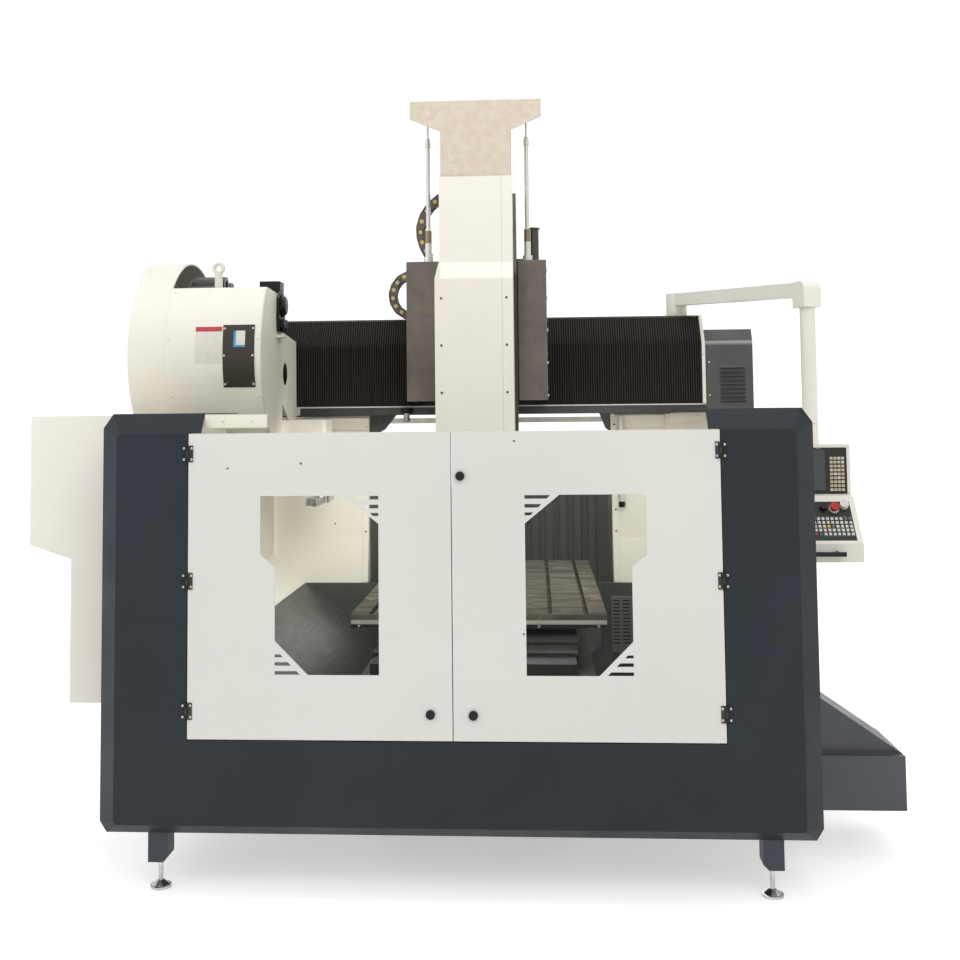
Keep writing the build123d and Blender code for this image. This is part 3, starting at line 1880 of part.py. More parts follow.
# Tool magazine: drum with a closed outer end
drum_y = -200.0
drum_z = 1891.0
drum_r = 437.0
drum_left = -1441.0
drum_right = -1280.0
barrel_right = -868.0
barrel_sheet = 4.0
barrel_up_angle = 0.725
barrel_down_angle = -1.45
axle_r = 30.0
axle_hub_r = 90.0
axle_hub_long = 32.0
axle_right = -1226.0
ring_wide = 8.0
with BuildPart() as magazine_drum:
    rod_x(drum_y, drum_z, drum_r, drum_left, drum_right)
    rod_x(drum_y, drum_z, drum_r - barrel_sheet, drum_left + barrel_sheet, drum_right, Mode.SUBTRACT)
    rod_x(drum_y, drum_z, drum_r, drum_right - barrel_sheet, drum_right)
    rod_x(drum_y, drum_z, drum_r - ring_wide, drum_right - barrel_sheet, drum_right, Mode.SUBTRACT)
    rod_x(drum_y, drum_z, axle_hub_r, drum_left + barrel_sheet, drum_left + axle_hub_long)
    rod_x(drum_y, drum_z, axle_r, drum_left + barrel_sheet, axle_right)
save(magazine_drum, "magazine_drum")


def drum_point(angle, radius):
    """Point at an angle above the front of the drum, as (y, z)."""
    return (drum_y - radius * cos(angle), drum_z + radius * sin(angle))


def drum_arc(angle_low, angle_high, radius_in, radius_out, x0, x1, mode=Mode.ADD):
    """Curved sheet between two angles round the drum axis."""
    middle = (angle_low + angle_high) / 2
    with BuildSketch(Plane.YZ.offset(x0)) as profile:
        with BuildLine():
            ThreePointArc(
                drum_point(angle_low, radius_out),
                drum_point(middle, radius_out),
                drum_point(angle_high, radius_out),
            )
            Line(drum_point(angle_high, radius_out), drum_point(angle_high, radius_in))
            ThreePointArc(
                drum_point(angle_high, radius_in),
                drum_point(middle, radius_in),
                drum_point(angle_low, radius_in),
            )
            Line(drum_point(angle_low, radius_in), drum_point(angle_low, radius_out))
        make_face()
    extrude(profile.sketch, amount=x1 - x0, dir=(1, 0, 0), mode=mode)


with BuildPart() as magazine_front_cover:
    drum_arc(barrel_down_angle, barrel_up_angle, drum_r - barrel_sheet, drum_r, drum_right, barrel_right)
save(magazine_front_cover, "magazine_front_cover")

# Curved inspection plate with six screws on the barrel
inspect_left = -1029.0
inspect_right = -893.0
inspect_low = -0.34
inspect_high = 0.276
inspect_thick = 2.5
inspect_screw_r = 5.0
inspect_margin = 14.0
inspect_turn = 0.047
with BuildPart() as inspection_plate:
    drum_arc(inspect_low, inspect_high, drum_r, drum_r + inspect_thick, inspect_left, inspect_right)
    for angle in (inspect_low + inspect_turn, (inspect_low + inspect_high) / 2, inspect_high - inspect_turn):
        for x in (inspect_left + inspect_margin, inspect_right - inspect_margin):
            y, z = drum_point(angle, drum_r + inspect_thick)
            rod_y_bar(x, z, inspect_screw_r, y - inspect_thick, y + 1.0)
save(inspection_plate, "inspection_plate")

# Frame of the magazine: end plate with openings, tie bar with lifting eye, motor and arm to the crossbeam
end_right = -864.0
end_points = [
    (-200.0, drum_z - drum_r),
    (96.0, drum_z - drum_r),
    (96.0, 1550.0),
    (80.0, 1977.0),
    (-282.0, 2010.0),
    (-283.0, 2170.0),
]
end_arc_steps = 14
end_hole = (-156.0, 1814.0)
end_hole_r = 53.5
end_window = [(-219.0, 1679.0), (-79.0, 1600.0), (-230.0, 1602.0)]
tie_y = -520.0
tie_wide = 50.0
tie_low = 2166.0
tie_high = 2172.0
eye_x = -1086.0
eye_ring_r = 29.0
eye_bar_r = 9.0
eye_ring_z = 2270.0
eye_shank_r = 17.0
arm_left = -1000.0
arm_low = 1620.0
arm_high = 1656.0
arm_y = -60.0
with BuildPart() as magazine_frame:
    arc_points = []
    for i in range(end_arc_steps + 1):
        angle = barrel_up_angle + (-pi / 2 - barrel_up_angle) * i / end_arc_steps
        arc_points.append(drum_point(angle, drum_r))
    prism_x(arc_points[:-1] + end_points, barrel_right, end_right)
    rod_x(*end_hole, end_hole_r, barrel_right, end_right, Mode.SUBTRACT)
    prism_x(end_window, barrel_right, end_right, Mode.SUBTRACT)
    block(drum_right, barrel_right, tie_y, tie_y + tie_wide, tie_low, tie_high)
    rod_z(eye_x, tie_y + tie_wide / 2, eye_shank_r, tie_high, eye_ring_z - eye_ring_r + eye_bar_r)
    with Locations(Location((eye_x, tie_y + tie_wide / 2, eye_ring_z), (90, 0, 0))):
        Torus(eye_ring_r - eye_bar_r, eye_bar_r)
    block(arm_left, barrel_right, arm_y, strip_front, arm_low, arm_high)
save(magazine_frame, "magazine_frame")

# Tool disc with its pots
disc_left = -1262.0
disc_right = -1240.0
disc_r = 372.0
pot_r = 40.0
pot_ring = 335.0
pot_right = -1130.0
pot_bore = 22.0
pot_count = 20
hub_r = 70.0
with BuildPart() as tool_disc:
    rod_x(drum_y, drum_z, disc_r, disc_left, disc_right)
    rod_x(drum_y, drum_z, hub_r, disc_left, disc_right + hub_r)
    with BuildSketch(Plane.YZ.offset(disc_right)) as pots:
        with Locations((drum_y, drum_z)):
            with PolarLocations(pot_ring, pot_count):
                Circle(pot_r)
    extrude(pots.sketch, amount=pot_right - disc_right, dir=(1, 0, 0))
    with BuildSketch(Plane.YZ.offset(disc_right)) as bores:
        with Locations((drum_y, drum_z)):
            with PolarLocations(pot_ring, pot_count):
                Circle(pot_bore)
    extrude(bores.sketch, amount=pot_right - disc_right, dir=(1, 0, 0), mode=Mode.SUBTRACT)
    rod_x(drum_y, drum_z, axle_r + running_fit, disc_left, disc_right + hub_r / 2, Mode.SUBTRACT)
save(tool_disc, "tool_disc")

# Gearbox of the tool change arm, hung from the end plate
arm_axis_x = -717.0
arm_axis_y = spindle_y
gearbox_half_y = 95.0
gearbox_right = -674.0
gearbox_low = 1300.0
gearbox_corner = 18.0
arm_shaft_in = 60.0
gearbox_high = 1600.0
arm_shaft_r = 28.0
with BuildPart() as atc_gearbox:
    block(
        end_right,
        gearbox_right,
        arm_axis_y - gearbox_half_y,
        arm_axis_y + gearbox_half_y,
        gearbox_low,
        gearbox_high,
    )
    fillet(atc_gearbox.edges().filter_by(Axis.Z).group_by(Axis.X)[-1], radius=gearbox_corner)
    rod_z(
        arm_axis_x,
        arm_axis_y,
        arm_shaft_r + running_fit,
        gearbox_low,
        gearbox_low + arm_shaft_in,
        Mode.SUBTRACT,
    )
save(atc_gearbox, "atc_gearbox")

# Double tool change arm with a gripper at each end
arm_reach = 240.0
arm_half = 42.0
arm_z = 1215.0
arm_thick = 34.0
grip_r = 32.0
arm_waist = arm_half * 0.7
grip_shift = grip_r * 0.6
with BuildPart() as atc_arm:
    rod_z(arm_axis_x, arm_axis_y, arm_shaft_r, arm_z, gearbox_low + arm_shaft_in - face_gap)
    rod_z(arm_axis_x, arm_axis_y, arm_half, arm_z, arm_z + arm_thick)
    block(
        arm_axis_x - arm_waist,
        arm_axis_x + arm_waist,
        arm_axis_y - arm_reach,
        arm_axis_y + arm_reach,
        arm_z,
        arm_z + arm_thick,
    )
    for side in (-1, 1):
        rod_z(
            arm_axis_x + side * grip_shift,
            arm_axis_y + side * (arm_reach - grip_r / 2),
            grip_r,
            arm_z,
            arm_z + arm_thick,
            Mode.SUBTRACT,
        )
save(atc_arm, "atc_arm")

# Pendant arm: hub on the crossbeam, tube to the elbow and the upright tube down to the head
post_x = 1010.0
post_y = 405.0
post_r = 52.0
post_flange_high = 10.0
post_pin_r = 18.0
hub_high = 62.0
elbow_x = 1388.0
elbow_y = -750.0
tube_half = 30.0
tube_low = 1512.0
neck_high = 60.0
arm_base = beam_top + post_flange_high + face_gap
arm_rear_low = 2154.0
arm_front_low = 2080.0
elbow_high = 106.0
elbow_near = 45.0
elbow_far = 41.0
elbow_side = 1.3
elbow_round = 34.0
arm_angle_x = elbow_x - post_x
arm_angle_y = elbow_y - post_y
arm_run = sqrt(arm_angle_x**2 + arm_angle_y**2)
arm_plane = Plane(
    origin=(post_x, post_y, 0),
    x_dir=(arm_angle_x, arm_angle_y, 0),
    z_dir=(-arm_angle_y, arm_angle_x, 0),
)
arm_up = 1 if arm_plane.y_dir.Z > 0 else -1
elbow_top = arm_front_low + 2 * tube_half + sheet
with BuildPart() as pendant_post:
    rod_z(post_x, post_y, post_r, beam_top, beam_top + post_flange_high)
    rod_z(post_x, post_y, post_pin_r, beam_top, arm_base + hub_high)
save(pendant_post, "pendant_post")

with BuildPart() as pendant_arm:
    with BuildSketch(arm_plane) as arm_side:
        Polygon(
            (0, arm_up * arm_rear_low),
            (arm_run, arm_up * arm_front_low),
            (arm_run, arm_up * (arm_front_low + 2 * tube_half)),
            (0, arm_up * (arm_rear_low + 2 * tube_half)),
            align=None,
        )
    extrude(arm_side.sketch, amount=tube_half, both=True)
    with BuildSketch(arm_plane) as elbow_block:
        Polygon(
            (arm_run - elbow_near, arm_up * (elbow_top - elbow_high)),
            (arm_run + elbow_far, arm_up * (elbow_top - elbow_high)),
            (arm_run + elbow_far, arm_up * elbow_top),
            (arm_run - elbow_near, arm_up * elbow_top),
            align=None,
        )
        outwards = Axis((0, 0, 0), (arm_angle_x, arm_angle_y, arm_run))
        outer_corner = elbow_block.vertices().sort_by(outwards)[-1]
        fillet(outer_corner, elbow_round)
    extrude(elbow_block.sketch, amount=tube_half * elbow_side, both=True)
    rod_z(post_x, post_y, post_r, arm_base, arm_rear_low + 2 * tube_half)
    rod_z(elbow_x, elbow_y, tube_half, tube_low + neck_high, arm_front_low)
    rod_z(elbow_x, elbow_y, post_pin_r, tube_low + face_gap, tube_low + neck_high)
    rod_z(post_x, post_y, post_pin_r + running_fit, arm_base, arm_base + hub_high, Mode.SUBTRACT)
save(pendant_arm, "pendant_arm")

# Pendant head: screen box, sloped keyboard below it and the swivel neck on top
head_left = 1180.0
head_right = 1525.0
head_back = -700.0
head_front = -800.0
head_top = 1490.0
head_screen_low = 1292.0
key_front = -960.0
key_front_z = 1120.0
head_low = 1050.0
screen_deep = 4.0
screen_left = 1200.0
screen_right = 1428.0
screen_top = 1470.0
screen_low = 1312.0
estop_u = 260.0
estop_v = -62.0
feed_u = 300.0
feed_v = -48.0
mode_u = 220.0
mode_v = -58.0
button_deep = 18.0
estop_stem_r = 8.0
estop_r = 17.0
estop_travel = 8.0
dial_stem_r = 5.0
collar_high = 3.5
collar_rim = 2.0
slope_top_y = head_front - tube_half
slope_run = sqrt((slope_top_y - key_front) ** 2 + (head_screen_low - key_front_z) ** 2)
slope_y = (key_front - slope_top_y) / slope_run
slope_z = (key_front_z - head_screen_low) / slope_run
keyboard = Plane(
    origin=(head_left, slope_top_y, head_screen_low),
    x_dir=(1, 0, 0),
    z_dir=(0, slope_z, -slope_y),
)


def slope_button(u, v, parts, mode=Mode.ADD):
    """Round steps standing on the keyboard plane: (radius, from, to) for each."""
    for radius, low, high in parts:
        with BuildSketch(keyboard.offset(low)) as profile:
            with Locations((u, v)):
                Circle(radius)
        extrude(profile.sketch, amount=high - low, mode=mode)


with BuildPart() as pendant_head:
    prism_x(
        [
            (head_front, head_top),
            (head_back, head_top),
            (head_back, head_low),
            (key_front, head_low),
            (key_front, key_front_z),
            (head_front - tube_half, head_screen_low),
            (head_front, head_screen_low),
        ],
        head_left,
        head_right,
    )
    block(
        screen_left,
        screen_right,
        head_front,
        head_front + screen_deep,
        screen_low,
        screen_top,
        Mode.SUBTRACT,
    )
    slope_button(estop_u, estop_v, ((estop_r + collar_rim, 0.0, collar_high),))
    slope_button(
        estop_u,
        estop_v,
        ((estop_stem_r + running_fit, -button_deep, collar_high),),
        Mode.SUBTRACT,
    )
    for u, v in ((feed_u, feed_v), (mode_u, mode_v)):
        slope_button(u, v, ((dial_stem_r + running_fit, -button_deep, 0.0),), Mode.SUBTRACT)
    rod_z(elbow_x, elbow_y, tube_half, head_top, tube_low + neck_high - face_gap)
    rod_z(
        elbow_x,
        elbow_y,
        post_pin_r + running_fit,
        tube_low,
        tube_low + neck_high,
        Mode.SUBTRACT,
    )
save(pendant_head, "pendant_head")

# Screen of the pendant
with BuildPart() as pendant_screen:
    block(
        screen_left,
        screen_right,
        head_front + screen_deep / 2,
        head_front + screen_deep,
        screen_low,
        screen_top,
    )
save(pendant_screen, "pendant_screen")

# Keys: a column of soft keys beside the screen and rows of keys on the sloped keyboard
soft_left = 1445.0
soft_right = 1503.0
soft_count = 9
soft_low = 1307.0
soft_pitch = 15.4
soft_high = 11.6
soft_proud = 4.0
key_cols = 18
key_rows = 5
key_pitch = 17.0
key_size = 13.0
key_proud = 4.0
key_first_x = 24.0
key_first_y = -106.0
with BuildPart() as pendant_keys:
    for i in range(soft_count):
        z = soft_low + i * soft_pitch
        block(soft_left, soft_right, head_front - soft_proud, head_front, z, z + soft_high)
    with BuildSketch(keyboard) as keys:
        with Locations(
            (
                key_first_x + (key_cols - 1) * key_pitch / 2,
                key_first_y - (key_rows - 1) * key_pitch / 2,
            )
        ):
            with GridLocations(key_pitch, key_pitch, key_cols, key_rows):
                Rectangle(key_size, key_size)
    extrude(keys.sketch, amount=key_proud)
save(pendant_keys, "pendant_keys")

# Handle bar below the keyboard
bar_r = 9.0
bar_y = key_front - 30.0
bar_z = head_low + 34.0
bar_left = head_left + 70.0
bar_right = head_right - 74.0
bar_foot_in = 26.0
with BuildPart() as pendant_handle:
    rod_x(bar_y, bar_z, bar_r, bar_left, bar_right)
    for x in (bar_left + bar_foot_in, bar_right - bar_foot_in):
        rod_y_bar(x, bar_z, bar_r, bar_y, key_front)
save(pendant_handle, "pendant_handle")


# Emergency stop button and the two dials on the right of the keyboard
estop_cap_low = collar_high + estop_travel + face_gap
estop_cap_high = estop_cap_low + 12.0
dial_high = 18.0
feed_r = 17.0
mode_r = 14.0
pointer_wide = 2.4
pointer_high = 1.6
with BuildPart() as estop_button:
    slope_button(
        estop_u,
        estop_v,
        (
            (estop_stem_r, estop_travel - button_deep + panel_gap, estop_cap_low),
            (estop_r, estop_cap_low, estop_cap_high),
        ),
    )
save(estop_button, "estop_button")

for dial_name, u, v, radius in (
    ("dial_feed", feed_u, feed_v, feed_r),
    ("dial_mode", mode_u, mode_v, mode_r),
):
    dial_steps = ((dial_stem_r, panel_gap - button_deep, face_gap), (radius, face_gap, dial_high))
    with BuildPart() as dial:
        slope_button(u, v, dial_steps)
        with BuildSketch(keyboard.offset(dial_high)) as pointer:
            with Locations((u, v + radius / 2)):
                Rectangle(pointer_wide, radius - pointer_wide)
        extrude(pointer.sketch, amount=pointer_high)
    save(dial, dial_name)
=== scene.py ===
"""Double-column machining center: materials, fittings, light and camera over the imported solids.

Metres. X runs to the right, Y away from the viewer and Z up.
"""
import math

import bmesh
import bpy
from mathutils import Matrix, Vector


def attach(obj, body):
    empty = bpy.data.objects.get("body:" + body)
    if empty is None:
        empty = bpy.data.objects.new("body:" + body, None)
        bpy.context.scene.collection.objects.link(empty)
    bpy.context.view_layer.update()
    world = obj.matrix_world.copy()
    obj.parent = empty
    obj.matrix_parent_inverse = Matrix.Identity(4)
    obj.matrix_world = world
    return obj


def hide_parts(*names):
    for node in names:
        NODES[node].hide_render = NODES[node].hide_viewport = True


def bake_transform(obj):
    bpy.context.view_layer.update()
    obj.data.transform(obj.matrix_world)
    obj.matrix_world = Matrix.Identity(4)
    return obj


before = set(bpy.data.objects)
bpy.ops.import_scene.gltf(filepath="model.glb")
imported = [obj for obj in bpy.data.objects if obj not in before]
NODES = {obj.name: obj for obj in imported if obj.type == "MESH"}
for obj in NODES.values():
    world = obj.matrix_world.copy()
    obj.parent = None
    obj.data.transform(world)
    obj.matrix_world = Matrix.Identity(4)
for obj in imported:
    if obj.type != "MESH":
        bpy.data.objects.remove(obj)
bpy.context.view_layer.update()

LEFT, RIGHT = (-1.0, 0.0, 0.0), (1.0, 0.0, 0.0)
FRONT, BACK = (0.0, -1.0, 0.0), (0.0, 1.0, 0.0)
DOWN, UP = (0.0, 0.0, -1.0), (0.0, 0.0, 1.0)

# Measures that several pieces or paints share
DOOR_FACE = -1.5                    # y of the doors' front
CREASE_Z = 1.956                    # the bellows stand upright below it and lean back above it
DRUM_Y, DRUM_Z = -0.2, 1.891        # axis of the magazine's drum, which runs along x
BARREL_R, COVER_R = 0.437, 0.4395   # outside of the drum and of the inspection plate on it


# ---------------------------------------------------------------- colours and paints
def srgb(r, g, b):
    """A screen colour, 0 to 255, as a linear colour."""
    out = []
    for c in (r, g, b):
        c /= 255.0
        out.append(c / 12.92 if c <= 0.04045 else ((c + 0.055) / 1.055) ** 2.4)
    return (*out, 1.0)


class Paint:
    """A small builder round one material's node tree."""

    def __init__(self, name):
        self.mat = bpy.data.materials.new(name)
        self.mat.use_nodes = True
        self.tree = self.mat.node_tree
        self.tree.nodes.clear()
        self.out = self.add("ShaderNodeOutputMaterial")
        self.bsdf = self.add("ShaderNodeBsdfPrincipled")
        self.link(self.bsdf.outputs[0], self.out.inputs[0])
        self.place = self.add("ShaderNodeTexCoord").outputs["Object"]

    def add(self, kind, **values):
        node = self.tree.nodes.new(kind)
        for key, value in values.items():
            setattr(node, key, value)
        return node

    def link(self, a, b):
        self.tree.links.new(a, b)

    def feed(self, socket, value):
        if isinstance(value, bpy.types.NodeSocket):
            self.link(value, socket)
        else:
            socket.default_value = value

    def noise(self, scale, detail=4.0, rough=0.55, stretch=None, distort=0.0):
        node = self.add("ShaderNodeTexNoise")
        for key, value in dict(Scale=scale, Detail=detail, Roughness=rough, Distortion=distort).items():
            node.inputs[key].default_value = value
        place = self.place
        if stretch:
            mapping = self.add("ShaderNodeMapping")
            mapping.inputs["Scale"].default_value = stretch
            self.link(place, mapping.inputs["Vector"])
            place = mapping.outputs[0]
        self.link(place, node.inputs["Vector"])
        return node.outputs[0]

    def cells(self, scale):
        node = self.add("ShaderNodeTexVoronoi")
        node.inputs["Scale"].default_value = scale
        self.link(self.place, node.inputs["Vector"])
        return node.outputs["Distance"]

    def remap(self, value, a, b, c=0.0, d=1.0):
        node = self.add("ShaderNodeMapRange")
        self.feed(node.inputs["Value"], value)
        for key, v in zip(("From Min", "From Max", "To Min", "To Max"), (a, b, c, d)):
            node.inputs[key].default_value = v
        return node.outputs[0]

    def cloud(self, scale, detail, low, high, c=0.0, d=1.0, **more):
        """Noise whose band from low to high is spread over c to d."""
        return self.remap(self.noise(scale, detail, **more), low, high, c, d)

    def dulled(self, scale, low, high, detail=4.0):
        """Roughness that drifts between two values."""
        return self.cloud(scale, detail, 0.3, 0.7, low, high)

    def math(self, kind, a, b=0.0):
        node = self.add("ShaderNodeMath", operation=kind)
        self.feed(node.inputs[0], a)
        self.feed(node.inputs[1], b)
        return node.outputs[0]

    def times(self, a, b):
        return self.math("MULTIPLY", a, b)

    def minus(self, a, b):
        return self.math("SUBTRACT", a, b)

    def apart(self, value, place):
        """How far a value is from a place."""
        return self.math("ABSOLUTE", self.minus(value, place))

    def below(self, value, limit):
        return self.math("LESS_THAN", value, limit)

    def above(self, value, limit):
        return self.math("GREATER_THAN", value, limit)

    def between(self, value, low, high):
        return self.times(self.above(value, low), self.below(value, high))

    def mix(self, factor, a, b):
        node = self.add("ShaderNodeMix", data_type="RGBA")
        self.feed(node.inputs["Factor"], factor)
        self.feed(node.inputs[6], a)
        self.feed(node.inputs[7], b)
        return node.outputs[2]

    def split(self, vector, name):
        node = self.add("ShaderNodeSeparateXYZ")
        self.link(vector, node.inputs[0])
        return node.outputs[name]

    def axis(self, name):
        return self.split(self.place, name)

    def facing(self, name):
        return self.split(self.add("ShaderNodeNewGeometry").outputs["True Normal"], name)

    def worn(self, tone, radius, share, pale):
        """(tone rubbed to `pale` along the edges, rounded normal)"""
        flat, turned = 0.99, 0.8  # cosines of the turn from the face: no wear, full wear
        bevel = self.add("ShaderNodeBevel", samples=4)
        bevel.inputs["Radius"].default_value = radius
        geo = self.add("ShaderNodeNewGeometry")
        dot = self.add("ShaderNodeVectorMath", operation="DOT_PRODUCT")
        self.link(bevel.outputs[0], dot.inputs[0])
        self.link(geo.outputs["Normal"], dot.inputs[1])
        mask = self.remap(dot.outputs["Value"], flat, turned)
        return self.mix(self.times(mask, share), tone, pale), bevel.outputs[0]

    def finish(self, colour, rough, bump, strength, depth, normal=None, metal=0.0, coat=0.0, gloss=0.5):
        self.feed(self.bsdf.inputs["Base Color"], colour)
        self.bsdf.inputs["Specular IOR Level"].default_value = gloss
        self.feed(self.bsdf.inputs["Roughness"], rough)
        self.feed(self.bsdf.inputs["Metallic"], metal)
        if coat:
            self.bsdf.inputs["Coat Weight"].default_value = coat
            self.bsdf.inputs["Coat Roughness"].default_value = 0.15
        node = self.add("ShaderNodeBump")
        node.inputs["Strength"].default_value = strength
        node.inputs["Distance"].default_value = depth
        self.link(bump, node.inputs["Height"])
        if normal is not None:
            self.link(normal, node.inputs["Normal"])
        self.link(node.outputs[0], self.bsdf.inputs["Normal"])
        return self.mat


def powder(name, colour, shade, rough, grime, edge, radius=0.0022, peel=520.0, dust=None, gloss=0.5):
    """Powder-coated or sprayed sheet: broad tone drift, orange peel, dulled patches and rubbed edges."""
    p = Paint(name)
    tone = p.mix(p.times(p.cloud(1.6, 5.0, 0.35, 0.65), grime), colour, shade)
    tone = p.mix(p.cloud(160.0, 2.0, 0.70, 0.78, 0.0, 0.35), tone, shade)
    if dust is not None:
        up = p.remap(p.facing("Z"), 0.5, 0.95)
        tone = p.mix(p.times(up, p.cloud(9.0, 6.0, 0.35, 0.75, 0.1, 0.8, rough=0.7)), tone, dust)
    tone, normal = p.worn(tone, radius, p.cloud(60.0, 5.0, 0.42, 0.62, rough=0.7), edge)
    rough_map = p.dulled(5.0, rough - 0.07, rough + 0.09)
    return p.finish(tone, rough_map, p.noise(peel, 2.0), 0.12, 0.0004, normal, gloss=gloss)


def brushed(name, colour, shade, stretch, rough, metal, smear, radius=0.0015):
    """Sheet or ground steel with a drawn grain, cloudy stains and bright edges."""
    p = Paint(name)
    grain = p.noise(14.0, 3.0, 0.6, stretch)
    stain = p.cloud(4.0, 6.0, 0.3, 0.72, rough=0.65, distort=0.8)
    tone = p.mix(p.times(stain, smear), colour, shade)
    tone = p.mix(p.remap(grain, 0.3, 0.7, 0.0, 0.22), tone, shade)
    tone, normal = p.worn(tone, radius, 0.4, (0.8, 0.79, 0.76, 1.0))
    rough_map = p.math("ADD", p.remap(grain, 0.3, 0.7, rough - 0.08, rough + 0.1), p.times(stain, 0.12))
    return p.finish(tone, rough_map, grain, 0.08, 0.0005, normal, metal)


def moulded(name, colour, shade, rough, grain=700.0, strength=0.15, gloss=0.5):
    """Moulded plastic or rubber with a fine spark-eroded grain and slight tone drift."""
    p = Paint(name)
    tone = p.mix(p.cloud(30.0, 4.0, 0.3, 0.7), colour, shade)
    pale = tuple(min(1.0, c * 1.8 + 0.02) for c in colour[:3]) + (1.0,)
    tone, normal = p.worn(tone, 0.0008, 0.25, pale)
    rough_map = p.dulled(90.0, rough - 0.06, rough + 0.08, 3.0)
    return p.finish(tone, rough_map, p.cells(grain), strength, 0.0003, normal, gloss=gloss)


def door_paint():
    """White door sheet; the hinge leaves that belong to it are blackened steel."""
    leaf_x, leaf_y = 0.868, DOOR_FACE - 0.0004
    p = Paint("door_white")
    tone = p.mix(p.cloud(1.2, 5.0, 0.35, 0.65, 0.0, 0.5), srgb(221, 219, 212), srgb(212, 212, 205))
    tone = p.mix(p.cloud(7.0, 7.0, 0.56, 0.74, 0.0, 0.10, rough=0.75), tone, srgb(196, 192, 180))
    tone = p.mix(p.cloud(150.0, 2.0, 0.72, 0.8, 0.0, 0.3), tone, srgb(190, 188, 180))
    tone, normal = p.worn(tone, 0.0016, p.cloud(60.0, 5.0, 0.42, 0.62, 0.2, 1.0), srgb(202, 198, 188))
    leaf = p.times(p.above(p.apart(p.axis("X"), 0.0), leaf_x), p.below(p.axis("Y"), leaf_y))
    tone = p.mix(leaf, tone, srgb(30, 30, 32))
    return p.finish(tone, p.dulled(4.0, 0.34, 0.5), p.noise(520.0, 2.0), 0.1, 0.0004, normal)


def rear_paint():
    """Greenish grey sheet of the rear guard with the joints of its three panels and their rivets."""
    middle, half_panel, rivets_per_metre = 0.058, 0.353, 7.0
    p = Paint("rear_grey")
    tone = p.mix(p.cloud(1.8, 5.0, 0.35, 0.65, 0.0, 0.7), srgb(104, 108, 98), srgb(86, 90, 82))
    joint = p.apart(p.apart(p.axis("X"), middle), half_panel)
    step = p.math("FRACT", p.times(p.axis("Z"), rivets_per_metre))
    rivet = p.times(p.below(p.apart(joint, 0.016), 0.0042), p.below(p.apart(step, 0.5), 0.032))
    tone = p.mix(p.below(joint, 0.0012), tone, srgb(40, 42, 38))
    tone = p.mix(p.times(rivet, 0.8), tone, srgb(150, 150, 142))
    dust = p.times(p.remap(p.axis("Z"), 0.5, 0.2), p.cloud(6.0, 6.0, 0.4, 0.7, 0.0, 0.5))
    tone = p.mix(dust, tone, srgb(120, 114, 102))
    tone, normal = p.worn(tone, 0.004, 0.4, srgb(110, 112, 106))
    return p.finish(tone, p.dulled(5.0, 0.38, 0.54), p.noise(520.0, 2.0), 0.12, 0.0004, normal)


def table_paint():
    """Ground cast iron: pale wiped streaks across darker oil film."""
    p = Paint("scraped_iron")
    film = p.cloud(7.0, 7.0, 0.40, 0.60, rough=0.68, stretch=(0.55, 1.9, 1.0), distort=0.4)
    tone = p.mix(film, srgb(70, 65, 53), srgb(124, 117, 101))
    wiped = p.cloud(13.0, 6.0, 0.56, 0.68, rough=0.7, stretch=(0.5, 1.8, 1.0), distort=0.3)
    tone = p.mix(p.times(wiped, 0.85), tone, srgb(190, 183, 164))
    tone = p.mix(p.cloud(300.0, 3.0, 0.45, 0.62, 0.0, 0.25), tone, srgb(52, 48, 40))
    tone, normal = p.worn(tone, 0.002, 0.4, srgb(150, 143, 128))
    rough = p.remap(film, 0.0, 1.0, 0.62, 0.8)
    return p.finish(tone, rough, p.noise(260.0, 5.0, 0.65), 0.2, 0.0006, normal, gloss=0.08)


def table_front_paint():
    """Rough cast iron: blotched, pitted, with oil stains and bare rubbed edges."""
    light, shade = srgb(166, 158, 142), srgb(96, 90, 76)
    p = Paint("front_iron")
    tone = p.mix(p.cloud(5.5, 8.0, 0.36, 0.64, rough=0.68, distort=0.6), shade, srgb(132, 125, 108))
    tone = p.mix(p.times(p.cloud(14.0, 6.0, 0.55, 0.72, rough=0.7, distort=1.2), 0.7), tone, light)
    pits = p.remap(p.cells(200.0), 0.02, 0.22, 0.65, 1.0)
    tone = p.mix(p.minus(1.0, pits), tone, shade)
    tone, normal = p.worn(tone, 0.003, 0.5, light)
    return p.finish(tone, p.dulled(20.0, 0.41, 0.71, 5.0), p.noise(400.0, 6.0, 0.7), 0.3, 0.001, normal, 0.1)


def yoke_paint():
    """Pale filler coat over a rough casting: fine pits, faint sanding and a few rust stains."""
    p = Paint("yoke_iron")
    tone = p.mix(p.cloud(26.0, 7.0, 0.38, 0.62, rough=0.62), srgb(227, 214, 196), srgb(217, 203, 183))
    tone = p.mix(p.cloud(3.2, 3.0, 0.54, 0.74, 0.0, 0.35), tone, srgb(200, 178, 150))
    tone = p.mix(p.cloud(9.0, 3.0, 0.70, 0.76, 0.0, 0.5), tone, srgb(164, 140, 112))
    tone = p.mix(p.remap(p.cells(120.0), 0.03, 0.16, 0.5, 0.0), tone, srgb(150, 128, 104))
    tone, normal = p.worn(tone, 0.004, 0.5, srgb(236, 229, 216))
    rough = p.dulled(40.0, 0.52, 0.76, 5.0)
    return p.finish(tone, rough, p.noise(240.0, 6.0, 0.7), 0.3, 0.001, normal, gloss=0.35)


